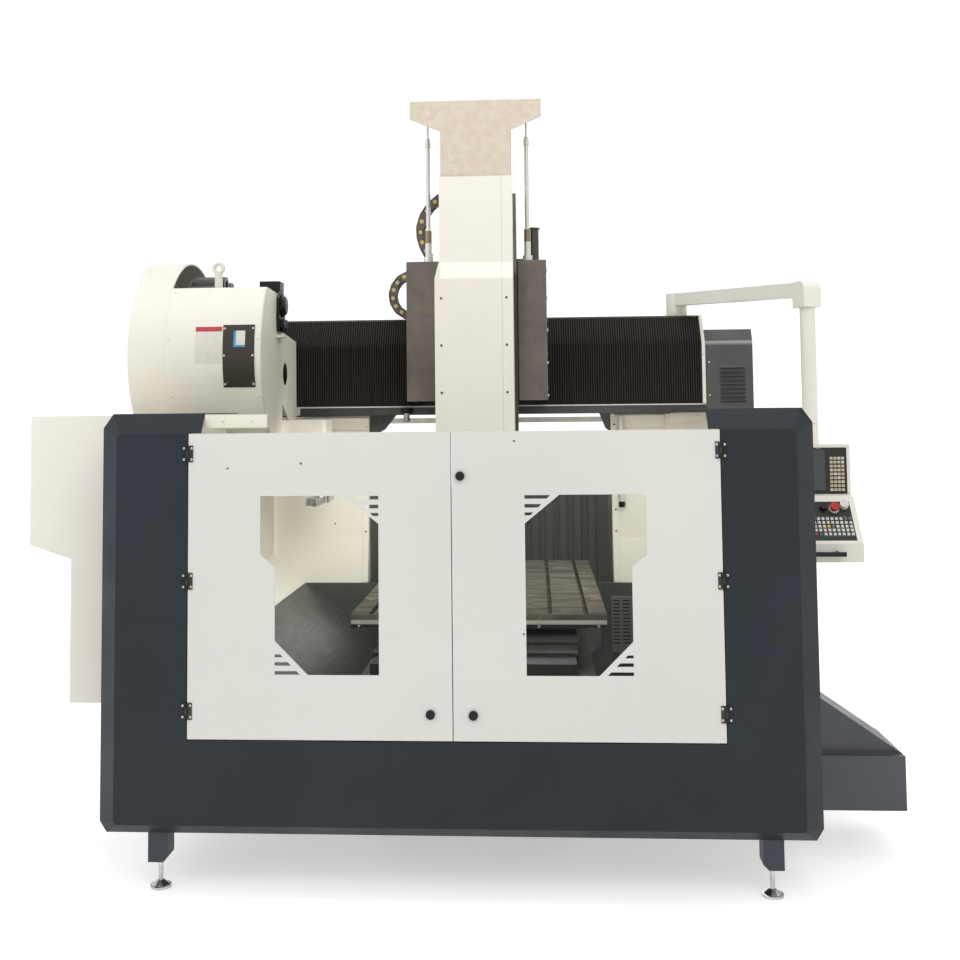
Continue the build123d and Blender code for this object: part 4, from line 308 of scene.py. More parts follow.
def beam_paint():
    """Crossbeam: grey above, a bright line and a nearly black lower strip."""
    line_top, strip_top = 1.661, 1.655
    p = Paint("beam_grey")
    tone = p.mix(p.cloud(3.0, 5.0, 0.35, 0.65), srgb(88, 90, 87), srgb(74, 76, 74))
    tone = p.mix(p.below(p.axis("Z"), line_top), tone, srgb(196, 194, 184))
    strip = p.mix(p.cloud(40.0, 4.0, 0.35, 0.65), srgb(38, 37, 36), srgb(50, 48, 45))
    tone = p.mix(p.below(p.axis("Z"), strip_top), tone, strip)
    tone, normal = p.worn(tone, 0.003, 0.3, srgb(140, 142, 138))
    return p.finish(tone, p.dulled(8.0, 0.32, 0.48), p.noise(500.0, 2.0), 0.12, 0.0004, normal)


def ram_iron():
    """Ram body: oily dark iron near the spindle, painted grey higher up."""
    paint_from, paint_full = 2.27, 2.30
    p = Paint("ram_iron")
    low = p.mix(p.cloud(18.0, 6.0, 0.36, 0.64, rough=0.65), srgb(42, 39, 35), srgb(58, 53, 46))
    high = p.mix(p.cloud(5.0, 5.0, 0.36, 0.64), srgb(112, 110, 98), srgb(96, 94, 84))
    tone = p.mix(p.remap(p.axis("Z"), paint_from, paint_full), low, high)
    tone, normal = p.worn(tone, 0.003, 0.4, srgb(150, 146, 136))
    return p.finish(tone, p.dulled(30.0, 0.34, 0.56), p.noise(260.0, 5.0), 0.25, 0.0008, normal, 0.1)


def ram_cover_paint():
    """Cream cover of the ram with the narrow joint between its two front sheets."""
    p = Paint("ram_cover_paint")
    tone = p.mix(p.cloud(1.6, 5.0, 0.35, 0.65, 0.0, 0.4), srgb(251, 246, 234), srgb(243, 235, 220))
    tone = p.mix(p.cloud(160.0, 2.0, 0.72, 0.8, 0.0, 0.3), tone, srgb(214, 205, 188))
    joint = p.between(p.axis("X"), 0.1471, 0.1485)
    tone = p.mix(p.times(joint, 0.75), tone, srgb(150, 140, 124))
    tone, normal = p.worn(tone, 0.0022, 0.4, srgb(222, 214, 198))
    return p.finish(tone, p.dulled(5.0, 0.38, 0.54), p.noise(520.0, 2.0), 0.12, 0.0004, normal)


def rod_steel():
    """Ground and polished rod: pale, with a brown preservative coat above the sleeves."""
    coat_z = (2.438, 2.498)
    p = Paint("rod_steel")
    rings = p.noise(60.0, 2.0, 0.5, (1.0, 1.0, 6.0))
    tone = p.mix(p.remap(rings, 0.35, 0.65), srgb(226, 225, 221), srgb(206, 205, 201))
    tone = p.mix(p.between(p.axis("Z"), *coat_z), tone, srgb(142, 124, 100))
    tone, normal = p.worn(tone, 0.001, 0.5, srgb(130, 128, 122))
    return p.finish(tone, p.remap(rings, 0.3, 0.7, 0.14, 0.26), rings, 0.04, 0.0003, normal, 0.45)


def motor_paint():
    """Dark grey cover sheet with a painted highlight: a pale band along the front of its upper bend."""
    p = Paint("motor_grey")
    tone = p.mix(p.cloud(2.4, 5.0, 0.35, 0.65, 0.0, 0.6), srgb(72, 75, 74), srgb(60, 63, 62))
    height = p.axis("Z")
    # Painted highlight: a pale band along the upper bend, only on faces turned to the front, in place of the
    # bend's reflection
    bend = p.times(p.remap(height, 1.940, 1.956), p.remap(height, 1.966, 1.958))
    painted_highlight = p.times(bend, p.below(p.facing("Y"), -0.2))
    tone = p.mix(p.times(painted_highlight, 0.75), tone, srgb(176, 178, 172))
    return p.finish(tone, p.dulled(5.0, 0.24, 0.38), p.noise(520.0, 2.0), 0.1, 0.0004)


def bellows_cloth():
    """Coated black cloth, dusty where it faces up, with a painted highlight: the pleats' ridges lighter and
    browner.
    """
    lean_rate = 0.6475  # how far back the cloth goes per metre above the crease
    p = Paint("bellows_cloth")
    patch = p.cloud(11.0, 5.0, 0.36, 0.64, rough=0.6)
    tone = p.mix(patch, srgb(24, 22, 20), srgb(33, 30, 27))
    lean = p.times(p.math("MAXIMUM", p.minus(p.axis("Z"), CREASE_Z), 0.0), lean_rate)
    valley = p.remap(p.minus(p.axis("Y"), lean), 0.2005, 0.2028)
    # Painted highlight: the pleats' outer ridges lighter and browner than the valleys, in patches
    ridge_highlight = p.times(p.minus(1.0, valley), p.cloud(30.0, 4.0, 0.3, 0.7, 0.25, 0.6, rough=0.6))
    tone = p.mix(ridge_highlight, tone, srgb(60, 53, 46))
    tone = p.mix(p.times(p.remap(p.facing("Z"), 0.2, 0.9), 0.3), tone, srgb(78, 71, 62))
    return p.finish(tone, p.remap(patch, 0.0, 1.0, 0.6, 0.75), p.noise(900.0, 2.0), 0.3, 0.0005, gloss=0.25)


def clear_pane():
    """Clear plastic sheet, faintly wiped."""
    p = Paint("clear_pane")
    smear = p.noise(6.0, 5.0, 0.65, distort=0.7)
    p.bsdf.inputs["Transmission Weight"].default_value = 1.0
    p.bsdf.inputs["IOR"].default_value = 1.12
    return p.finish(srgb(248, 251, 250), p.remap(smear, 0.35, 0.75, 0.0, 0.05), smear, 0.02, 0.0004)


def screen_glass():
    """Dark screen, switched off, with finger smudges."""
    p = Paint("screen_glass")
    smudge = p.noise(18.0, 5.0, 0.65)
    tone = p.mix(p.remap(smudge, 0.3, 0.7), srgb(26, 32, 36), srgb(34, 41, 44))
    return p.finish(tone, p.remap(smudge, 0.3, 0.7, 0.06, 0.2), smudge, 0.02, 0.0003, coat=0.6)


def leg_paint():
    """Square leg in slate, adjuster stud and disc below it in chrome."""
    stud_top = 0.094
    p = Paint("leg_paint")
    low = p.below(p.axis("Z"), stud_top)
    tone = p.mix(p.cloud(8.0, 5.0, 0.3, 0.7), srgb(46, 52, 62), srgb(36, 41, 50))
    steel = p.mix(p.cloud(25.0, 5.0, 0.3, 0.7), srgb(214, 214, 212), srgb(168, 166, 160))
    tone, normal = p.worn(tone, 0.0015, 0.5, srgb(110, 114, 120))
    rough = p.minus(p.dulled(30.0, 0.36, 0.5), p.times(low, 0.22))
    return p.finish(p.mix(low, tone, steel), rough, p.noise(400.0), 0.1, 0.0004, normal, low)


def pleat_edge():
    """Stiffened top edge of the pleats, worn to a greyish olive."""
    p = Paint("pleat_edge")
    tone = p.mix(p.cloud(220.0, 4.0, 0.35, 0.65), srgb(110, 106, 90), srgb(168, 166, 146))
    return p.finish(tone, p.dulled(60.0, 0.5, 0.7), p.noise(800.0), 0.2, 0.0004)


cream = powder("cream", srgb(240, 236, 224), srgb(226, 220, 205), 0.4, 0.35, srgb(214, 208, 192),
               dust=srgb(205, 198, 182))
frame_cream = powder("frame_cream", srgb(228, 224, 211), srgb(214, 210, 197), 0.45, 0.4, srgb(200, 196, 184))
slate = powder("slate", srgb(34, 41, 48), srgb(27, 34, 39), 0.46, 0.6, srgb(62, 69, 76), 0.006, 420.0,
               gloss=0.25)
hopper_grey = powder("hopper_grey", srgb(72, 75, 81), srgb(62, 65, 70), 0.42, 0.6, srgb(106, 110, 113), 0.005)
cast_paint = powder("cast_paint", srgb(122, 124, 120), srgb(96, 99, 96), 0.5, 0.6, srgb(150, 150, 146),
                    0.004, 260.0, srgb(88, 84, 76))
guard_panel = powder("guard_panel", srgb(240, 235, 220), srgb(214, 209, 195), 0.42, 0.45, srgb(196, 190, 176))
dark_steel = powder("dark_steel", srgb(44, 44, 46), srgb(34, 34, 36), 0.42, 0.5, srgb(104, 102, 98), 0.0016)
column_paint = powder("column_paint", srgb(120, 112, 102), srgb(98, 91, 82), 0.5, 0.7, srgb(150, 144, 134),
                      0.004, 260.0)

pot_steel = brushed("pot_steel", srgb(78, 76, 72), srgb(50, 48, 45), (1.0, 1.0, 4.0), 0.34, 0.5, 0.6)
guard_steel = brushed("guard_steel", srgb(124, 114, 104), srgb(82, 79, 76), (1.0, 1.0, 0.06), 0.46, 0.35,
                      0.8, 0.004)
cover_steel = brushed("cover_steel", srgb(64, 65, 60), srgb(42, 43, 40), (0.05, 1.0, 1.0), 0.4, 0.4, 0.9)
bright = brushed("bright_steel", srgb(196, 195, 192), srgb(150, 148, 144), (1.0, 1.0, 8.0), 0.25, 0.95, 0.4)
chute = brushed("chute_steel", srgb(92, 94, 88), srgb(64, 67, 64), (14.0, 0.3, 14.0), 0.4, 0.3, 0.6)
brown_plate = brushed("brown_plate", srgb(56, 47, 37), srgb(40, 33, 26), (1.0, 1.0, 0.2), 0.42, 0.15, 0.7)
screw_mat = brushed("screw_steel", srgb(224, 223, 220), srgb(176, 174, 168), (1.0, 1.0, 1.0), 0.2, 0.85,
                    0.3, 0.0006)

black_metal = moulded("black_metal", srgb(20, 20, 21), srgb(14, 14, 15), 0.42, 400.0, gloss=0.3)
drive_brown = moulded("drive_brown", srgb(70, 66, 61), srgb(54, 50, 46), 0.4, 400.0)
black_plastic = moulded("black_plastic", srgb(15, 15, 16), srgb(10, 10, 11), 0.42, gloss=0.3)
key_white = moulded("key_white", srgb(222, 220, 212), srgb(208, 205, 196), 0.4)
key_tan = moulded("key_tan", srgb(214, 200, 168), srgb(196, 180, 146), 0.42)
key_grey = moulded("key_grey", srgb(120, 124, 126), srgb(104, 108, 110), 0.42)
red_plastic = moulded("red_plastic", srgb(190, 30, 30), srgb(168, 22, 24), 0.3)
green_plastic = moulded("green_plastic", srgb(40, 140, 96), srgb(32, 120, 82), 0.35)
yellow_plastic = moulded("yellow_plastic", srgb(224, 200, 70), srgb(206, 180, 56), 0.4)
link_plastic = moulded("link_plastic", srgb(114, 100, 88), srgb(92, 80, 70), 0.5, 500.0)
link_dark = moulded("link_dark", srgb(84, 74, 64), srgb(64, 56, 48), 0.55, 500.0)
link_pin = moulded("link_pin", srgb(226, 212, 150), srgb(206, 188, 120), 0.35)
panel_black = moulded("panel_black", srgb(44, 47, 44), srgb(36, 39, 37), 0.4, 900.0, gloss=0.3)
field_white = moulded("field_white", srgb(226, 223, 212), srgb(216, 212, 200), 0.35, 900.0, 0.05)
field_red = moulded("field_red", srgb(196, 66, 72), srgb(180, 56, 62), 0.35, 900.0, 0.05)
field_blue = moulded("field_blue", srgb(70, 158, 196), srgb(58, 140, 180), 0.35, 900.0, 0.05)
# Painted shade: near-black for the shaded insides of openings, under the motor cover's louvers and in the
# splash plate's slots
shade_black_mat = moulded("painted_shade_black", srgb(16, 17, 18), srgb(11, 12, 12), 0.8, 300.0)

rear_grey = rear_paint()
front_iron = table_front_paint()
rod_chrome = rod_steel()
bellows_mat = bellows_cloth()
pleat_top_mat = pleat_edge()

for paint, names in (
    (cast_paint, "machine_bed saddle"),
    (bright, "linear_rails ball_screws atc_arm spindle"),
    (dark_steel, "levelling_feet"),
    (column_paint, "columns"),
    (guard_panel, "column_covers side_guards"),
    (beam_paint(), "crossbeam"),
    (black_metal, "drive_motors hinge_leaves_fixed spindle_motor"),
    (motor_paint(), "beam_motor_cover"),
    (bellows_mat, "bellows_left bellows_right"),
    (slate, "front_enclosure"),
    (leg_paint(), "enclosure_legs"),
    (chute, "chip_chutes"),
    (rear_grey, "rear_guard"),
    (cream, "electrical_cabinet cabinet_door magazine_drum magazine_front_cover"),
    (cream, "pendant_post pendant_arm pendant_head"),
    (hopper_grey, "chip_hopper"),
    (frame_cream, "magazine_frame atc_gearbox"),
    (brown_plate, "inspection_plate"),
    (cover_steel, "way_covers_lower way_covers_upper way_cover_front_middle way_cover_rear_middle"),
    (table_paint(), "table"),
    (drive_brown, "ram_drive"),
    (guard_steel, "saddle_guards"),
    (rod_chrome, "counterbalance_cylinders counterbalance_rods"),
    (link_dark, "saddle_chain ram_chain"),
    (ram_iron(), "ram"),
    (ram_cover_paint(), "ram_cover"),
    (yoke_paint(), "yoke"),
    (door_paint(), "door_left door_right"),
    (clear_pane(), "door_left_pane door_right_pane"),
    (black_plastic, "latch_knob_upper latch_knob_right latch_knob_left pendant_handle dial_mode"),
    (pot_steel, "tool_disc"),
    (screen_glass(), "pendant_screen"),
    (key_white, "pendant_keys dial_feed"),
    (red_plastic, "estop_button"),
):
    for node_name in names.split():
        materials = NODES[node_name].data.materials
        materials.clear()
        materials.append(paint)


# ---------------------------------------------------------------- pieces in mesh code
def ring_of(centre, r, count, start=0.0):
    """Places on a circle whose axis runs along x."""
    x, y, z = centre
    for k in range(count):
        a = 2 * math.pi * k / count + start
        yield (x, y + r * math.cos(a), z + r * math.sin(a))


class Mesh:
    """Collects the faces of one piece; `slot` is the material that new faces take."""

    def __init__(self):
        self.bm = bmesh.new()
        self.slot = 0

    def face(self, verts):
        self.bm.faces.new(verts).material_index = self.slot

    def loft(self, rings, closed=True):
        """Skin through rings of points with equal counts; closed rings are capped at both ends."""
        rings = [[self.bm.verts.new(p) for p in ring] for ring in rings]
        count = len(rings[0])
        for a, b in zip(rings, rings[1:]):
            for i in range(count if closed else count - 1):
                j = (i + 1) % count
                self.face((a[i], a[j], b[j], b[i]))
        if closed:
            self.face(rings[0][::-1])
            self.face(rings[-1])

    def box(self, x, y, z, at=None, taper=0.0):
        """Block from three (low, high) pairs; `taper` draws the top in on all sides."""
        rings = []
        for k, inset in ((0, 0.0), (1, taper)):
            x0, x1, y0, y1 = x[0] + inset, x[1] - inset, y[0] + inset, y[1] - inset
            ring = [Vector((a, b, z[k])) for a, b in ((x0, y0), (x1, y0), (x1, y1), (x0, y1))]
            rings.append([at @ v for v in ring] if at else ring)
        self.loft(rings)

    def prism(self, points, low, high, axis="Y"):
        """Outline in the plane of the two other axes, extruded along the named one."""
        place = {
            "X": lambda a, b, c: (c, a, b),
            "Y": lambda a, b, c: (a, c, b),
            "Z": lambda a, b, c: (a, b, c),
        }[axis]
        self.loft([[Vector(place(a, b, c)) for a, b in points] for c in (low, high)])

    def lathe(self, profile, origin, direction, sides=24):
        """(radius, height) steps turned round a direction."""
        d = Vector(direction).normalized()
        u = d.orthogonal().normalized()
        w = d.cross(u)
        turn = [2 * math.pi * i / sides for i in range(sides)]
        rings = []
        for r, h in profile:
            c = Vector(origin) + d * h
            ring = [c + (u * math.cos(a) + w * math.sin(a)) * r for a in turn] if r else [c]
            rings.append([self.bm.verts.new(p) for p in ring])
        for a, b in zip(rings, rings[1:]):
            for i in range(sides):
                j = (i + 1) % sides
                if len(a) == 1:
                    self.face((a[0], b[j], b[i]))
                elif len(b) == 1:
                    self.face((a[i], a[j], b[0]))
                else:
                    self.face((a[i], a[j], b[j], b[i]))

    def screw(self, origin, direction, r, high=None):
        """Button-head screw with a socket."""
        h = high or r * 0.6
        self.lathe(
            [(r * 0.98, -0.0002), (r, h * 0.35), (r * 0.82, h * 0.8), (r * 0.55, h), (r * 0.42, h),
             (r * 0.4, h * 0.4), (0.0, h * 0.35)], origin, direction, 16)

    def screws(self, places, direction, r, high=None):
        for place in places:
            self.screw(place, direction, r, high)

    def bolt(self, origin, direction, r, high):
        """Hexagon head on a washer."""
        self.lathe([(r * 1.5, -0.0002), (r * 1.5, high * 0.2), (r * 1.0, high * 0.22)], origin, direction, 20)
        self.lathe([(r, high * 0.2), (r, high * 0.9), (r * 0.85, high), (0.0, high)], origin, direction, 6)

    def piece(self, name, body, *mats, bevel=0.0, replaces=(), smooth=0.6):
        bmesh.ops.recalc_face_normals(self.bm, faces=self.bm.faces)
        mesh = bpy.data.meshes.new(name)
        self.bm.to_mesh(mesh)
        self.bm.free()
        mesh.polygons.foreach_set("use_smooth", [True] * len(mesh.polygons))
        mesh.set_sharp_from_angle(angle=smooth)
        for mat in mats:
            mesh.materials.append(mat)
        obj = bpy.data.objects.new(name, mesh)
        bpy.context.scene.collection.objects.link(obj)
        if bevel:
            edge = obj.modifiers.new("edges", "BEVEL")
            edge.width = bevel
            edge.segments = 2
            edge.limit_method = "ANGLE"
            edge.angle_limit = 0.6
        if body:
            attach(obj, body)
        if replaces:
            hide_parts(*replaces)
        return obj


def bellows(name, x0, x1, folds):
    """Sewn pleats with stiff ridges, upright below the crease and leaning back above it, flat at the crease.

    Slots: cloth, the pleats' top edge, the two end plates.
    """
    y_out, y_in, y_back, y_top = 0.2, 0.2135, 0.237, 0.327
    low, top = 1.664, 2.095
    top_lean, lean_high = 0.09, 0.139
    pressed_z, pressed_half, pressed_deep = 1.9565, 0.012, 0.0035
    levels = (low, 1.72, 1.81, 1.90, 1.950, pressed_z, 1.963, 2.02, 2.075, 2.0865, top)
    pitch = (x1 - x0) / folds
    m = Mesh()
    rows = []
    for z in levels:
        lean = top_lean * max(0.0, (z - CREASE_Z) / lean_high)
        pressed = pressed_deep * max(0.0, 1.0 - abs(z - pressed_z) / pressed_half)
        row = []
        for i in range(4 * folds + 1):
            share = (0.0, 0.93, 1.0, 0.93)[i % 4]
            wave = 0.0008 * math.sin(i * 0.37 + z * 9.0)
            y = y_in + (y_out - y_in) * share + pressed * share + lean + wave * share
            drop = 0.0085 * (1.0 - share) if z == top else 0.0
            x = x0 + pitch * i / 4 + (0.0 if i % 4 else 0.0006 * math.sin(i * 1.7))
            row.append(Vector((min(max(x, x0), x1), y, z - drop)))
        rows.append(row)
    m.loft(rows, closed=False)
    m.slot = 1
    back = [[Vector((p.x, y, z)) for p in row]
            for y, z in ((y_top, 2.093), (y_back, CREASE_Z), (y_back, low))]
    m.loft([row, back[0]], closed=False)
    m.slot = 0
    m.loft(back, closed=False)
    m.slot = 2
    for end in ((x0, x0 + 0.004), (x1 - 0.004, x1)):
        m.prism([(y_out + 0.002, 1.666), (y_back, 1.666), (y_back, CREASE_Z), (y_back + 0.088, 2.091),
                 (y_out + 0.091, 2.091), (y_out + 0.002, CREASE_Z)], *end, "X")
    return m.piece(name + "_pleats", None, bellows_mat, pleat_top_mat, dark_steel, replaces=(name,),
                   smooth=1.2)


for name, fixed, moving, folds in (("bellows_left", -0.985, -0.283, 62), ("bellows_right", 1.101, 0.320, 68)):
    pleats = bellows(name, min(fixed, moving), max(fixed, moving), folds)
    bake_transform(pleats)


def chain(points, y0):
    """Energy chain: side plates that overlap at their pins, cross bars between them, a domed pin per link.

    Slots: every other link, the links between them with the bars, the pins.
    """
    wide, thick, plate, step = 0.056, 0.042, 0.0045, 0.0015
    dome = [(0.0104, -0.0002), (0.0104, 0.0006), (0.008, 0.0014), (0.0, 0.0018)]
    m = Mesh()
    mids = []
    for n, ((xa, za), (xb, zb)) in enumerate(zip(points, points[1:])):
        a, b = Vector((xa, 0.0, za)), Vector((xb, 0.0, zb))
        run = (b - a).length
        along = (b - a) / run
        across = Vector((-along.z, 0.0, along.x))
        outline = []
        for end, start in ((b, -math.pi / 2), (a, math.pi / 2)):
            for k in range(9):
                t = start + math.pi * k / 8
                out, up = math.cos(t) * thick * 0.36, math.sin(t) * thick / 2
                outline.append(end + along * out + across * up)
        inset = step if n % 2 else 0.0
        m.slot = n % 2
        for y in (y0 + inset, y0 + wide - plate - inset):
            m.loft([[p + Vector((0.0, y + d, 0.0)) for p in outline] for d in (0.0, plate - step)])
        mid = (a + b) / 2
        m.slot = 1
        for side in (-1.0, 1.0):
            c = mid + across * (side * (thick / 2 - 0.004))
            bar = [c + along * (u * run * 0.22) + across * (v * 0.0025) for u, v in
                   ((-1, -1), (1, -1), (1, 1), (-1, 1))]
            m.loft([[p + Vector((0.0, y, 0.0)) for p in bar] for y in (y0 + plate, y0 + wide - plate)])
        mids.append(mid)
    m.slot = 2
    for p in mids:
        m.lathe(dome, p + Vector((0.0, y0 + 0.0003, 0.0)), FRONT, 18)
        m.lathe(dome, p + Vector((0.0, y0 + wide - 0.0018, 0.0)), BACK, 18)
    return m


RAM_LINKS = [(-0.158, 2.668), (-0.205, 2.630), (-0.238, 2.580), (-0.254, 2.527), (-0.252, 2.475),
             (-0.238, 2.430), (-0.218, 2.392)]
SADDLE_LINKS = [(-0.343, 2.330), (-0.388, 2.306), (-0.414, 2.272), (-0.426, 2.230), (-0.420, 2.188),
                (-0.398, 2.150), (-0.362, 2.126), (-0.316, 2.1225), (-0.268, 2.1225), (-0.220, 2.1225),
                (-0.172, 2.1225)]
m = chain(RAM_LINKS, 0.078)
m.slot = 1
m.box((-0.231, -0.205), (0.080, 0.132), (2.338, 2.384))
obj = m.piece("ram_links", None, link_plastic, link_dark, link_pin, replaces=("ram_chain",))
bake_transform(obj)
m = chain(SADDLE_LINKS, 0.360)
m.slot = 1
m.box((-0.345, -0.333), (0.362, 0.414), (2.288, 2.330))
obj = m.piece("saddle_links", None, link_plastic, link_dark, link_pin, replaces=("saddle_chain",))
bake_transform(obj)

# Screws in the hinge leaves, on the door's side and on the fixed side
for side, word in ((-1.0, "left"), (1.0, "right")):
    for body, x in (("door_" + word, 0.899), ("frame", 0.925)):
        m = Mesh()
        for z in (0.622, 1.061, 1.497):
            m.screws([(side * x, -1.503, z + dz) for dz in (-0.019, 0.019)], FRONT, 0.0044, 0.0028)
        m.piece(f"hinge_screws_{body}_{word}", body, screw_mat)

# Screws on the edges of the saddle's guard plates
m = Mesh()
for x, way in ((-0.315, LEFT), (0.354, RIGHT)):
    for z in (1.705, 1.862, 2.018, 2.175, 2.310):
        m.screws([(x, y, z) for y in (0.045, 0.150)], way, 0.0055, 0.0045)
m.piece("guard_screws", "saddle", screw_mat)


# Pendant: key caps, dark panels, group lines
def plate_ring(x, z, hole_x, hole_z):
    """Four strips round a hole, as (low, high) pairs."""
    return (
        ((x[0], hole_x[0]), z),
        ((hole_x[1], x[1]), z),
        (hole_x, (z[0], hole_z[0])),
        (hole_x, (hole_z[1], z[1])),
    )


# The slanted keyboard (x across, y up the slant, z out of it) and the upright panel round the screen
BOARD = Matrix(((1.0, 0.0, 0.0, 1.180), (0.0, 0.6029, -0.7978, -0.830), (0.0, 0.7978, 0.6029, 1.292),
                (0.0, 0.0, 0.0, 1.0)))
PANEL_Y = -0.8
PANEL = Matrix(((1.0, 0.0, 0.0, 0.0), (0.0, 0.0, -1.0, PANEL_Y), (0.0, 1.0, 0.0, 0.0), (0.0, 0.0, 0.0, 1.0)))
KEY_PITCH, KEY_HALF, KEY_Z = 0.017, 0.0059, (0.0, 0.0036)
# (column, row) of the coloured caps; slots: white, tan, grey, red, green, yellow
CAP_COLOURS = {(9, 4): 3, (10, 4): 4, (0, 4): 3, (1, 4): 4, (17, 0): 2, (16, 0): 2, (12, 2): 5, (13, 2): 2,
               (5, 0): 5}
m = Mesh()
for i in range(18):
    for j in range(5):
        u, v = 0.024 + KEY_PITCH * i, -0.106 - KEY_PITCH * j
        m.slot = CAP_COLOURS.get((i, j), 0)
        m.box((u - KEY_HALF, u + KEY_HALF), (v - KEY_HALF, v + KEY_HALF), KEY_Z, BOARD, 0.0011)
for i in range(9):
    z = 1.307 + 0.0154 * i
    for k in range(4):
        x = 1.4455 + 0.0147 * k
        m.slot = 1 if (i + k) % 5 else 0
        m.box((x, x + 0.0128), (z, z + 0.0112), KEY_Z, PANEL, 0.0009)
m.piece("key_caps", "pendant_head", key_white, key_tan, key_grey, red_plastic, green_plastic, yellow_plastic,
        bevel=0.0005, replaces=("pendant_keys",))

m = Mesh()
m.box((0.012, 0.324), (-0.202, -0.028), (0.0, 0.0004), BOARD)
for strip_x, strip_z in plate_ring((1.190, 1.512), (1.296, 1.478), (1.200, 1.428), (1.312, 1.470)):
    m.box(strip_x, (PANEL_Y - 0.0012, PANEL_Y), strip_z)
m.slot = 1
LINE = 0.0011  # width of the lines round the key groups
for u0, u1 in ((0.0145, 0.190), (0.1935, 0.3215)):
    for v0, v1 in ((-0.1485, -0.0965), (-0.1830, -0.1490)):
        inner = (u0 + LINE, u1 - LINE), (v0 + LINE, v1 - LINE)
        for strip_u, strip_v in plate_ring((u0, u1), (v0, v1), *inner):
            m.box(strip_u, strip_v, (0.0004, 0.0007), BOARD)
m.box((1.395, 1.413), (-0.8018, -0.8011), (1.4725, 1.4765))
m.piece("pendant_panels", "pendant_head", panel_black, key_grey)

m = Mesh()
board_out = BOARD.to_3x3() @ Vector(UP)
corners = ((0.018, -0.012), (0.327, -0.012), (0.018, -0.209), (0.327, -0.209))
m.screws([BOARD @ Vector((u, v, 0.0)) for u, v in corners], board_out, 0.0032, 0.002)
m.screws([(x, PANEL_Y, z) for x in (1.186, 1.519) for z in (1.300, 1.480)], FRONT, 0.003, 0.002)
m.piece("pendant_screws", "pendant_head", screw_mat)


# Blank colour fields and fasteners on the tool magazine
def drum_patch(m, x0, x1, a0, a1, r0, r1, steps):
    """Thin curved plate on the barrel between two angles, in degrees from the front."""
    rings = []
    for i in range(steps + 1):
        a = math.radians(a0 + (a1 - a0) * i / steps)
        rings.append([Vector((x, DRUM_Y - r * math.cos(a), DRUM_Z + r * math.sin(a)))
                      for x, r in ((x0, r0), (x1, r0), (x1, r1), (x0, r1))])
    m.loft(rings)


def barrel_screw(m, x, degrees, r, head, high):
    """Screw that stands out of the barrel at an angle from the front."""
    a = math.radians(degrees)
    out = Vector((0.0, -math.cos(a), math.sin(a)))
    m.screw(Vector((x, DRUM_Y, DRUM_Z)) + out * r, out, head, high)


m = Mesh()
for slot, *patch in (
    (0, -1.148, -1.034, -5.9, 12.1, 0.4368, 0.4374, 10),
    (1, -1.148, -1.034, 12.1, 14.9, 0.4368, 0.4374, 3),
    (1, -0.9826, -0.9740, 3.6, 12.0, 0.4395, 0.4402, 3),
    (2, -0.9826, -0.9720, 3.1, 12.3, 0.4396, 0.4404, 4),
    (2, -0.9720, -0.9327, 3.1, 4.2, 0.4396, 0.4404, 2),
    (0, -0.9720, -0.9327, 4.2, 12.3, 0.4396, 0.4404, 4),
):
    m.slot = slot
    drum_patch(m, *patch)
m.piece("magazine_fields", "frame", field_white, field_red, field_blue)

m = Mesh()
for x in (-1.022, -0.900):
    for degrees in (13.6, -1.6, -17.6):
        barrel_screw(m, x, degrees, COVER_R, 0.0048, 0.003)
for degrees in (38.0, 8.0, -25.0, -58.0):
    for x in (-1.262, -0.880):
        barrel_screw(m, x, degrees, BARREL_R, 0.004, 0.0022)
m.piece("magazine_screws", "frame", screw_mat)

# Index motor with its gear case on the magazine's end plate, with terminal box and stops
MOTOR = (-0.850, -0.287, 2.120)
m = Mesh()
m.prism([(-0.345, 2.00), (-0.235, 2.00), (-0.225, 2.08), (-0.235, 2.150), (-0.255, 2.180), (-0.285, 2.190),
         (-0.318, 2.180), (-0.345, 2.150), (-0.352, 2.07)], -0.8635, -0.850, "X")
m.lathe([(0.046, 0.0), (0.050, 0.002), (0.050, 0.008), (0.044, 0.010), (0.040, 0.018), (0.034, 0.020),
         (0.0, 0.020)], MOTOR, RIGHT, 32)
m.screws(ring_of(MOTOR, 0.054, 7), RIGHT, 0.0042)
m.slot = 1
m.box((-0.850, -0.832), (-0.335, -0.255), (2.02, 2.056))
for k in range(3):
    m.lathe([(0.006, 0.0), (0.006, 0.010), (0.0045, 0.012), (0.0045, 0.022), (0.0, 0.024)],
            (-0.841, -0.275 - 0.02 * k, 2.02), DOWN, 12)
m.slot = 2
m.box((-0.8635, -0.835), (-0.352, -0.262), (1.972, 1.984))
m.piece("magazine_motor", "frame", black_metal, black_plastic, frame_cream, bevel=0.0015)

# Gussets, cross strip and nozzle under the crossbeam
m = Mesh()
m.prism([(-0.553, 1.617), (-0.413, 1.617), (-0.470, 1.545), (-0.553, 1.500)], 0.392, 0.398)
for k in range(4):
    x = -0.540 + 0.024 * k
    m.prism([(x + 0.030, 1.614), (x + 0.041, 1.614), (x + 0.003, 1.560), (x - 0.008, 1.560)], 0.382, 0.392)
m.prism([(0.668, 1.617), (0.612, 1.617), (0.640, 1.545), (0.668, 1.520)], 0.392, 0.398)
m.piece("beam_gussets", "frame", dark_steel, bevel=0.001)

m = Mesh()
m.box((-0.5505, 0.6665), (0.394, 0.412), (1.584, 1.600))
m.box((-0.5505, 0.6665), (0.394, 0.397), (1.574, 1.584))
m.screws([(x, 0.394, 1.592) for x in (-0.40, 0.05, 0.50)], FRONT, 0.004)
m.piece("cross_strip", "frame", key_white, bevel=0.001)

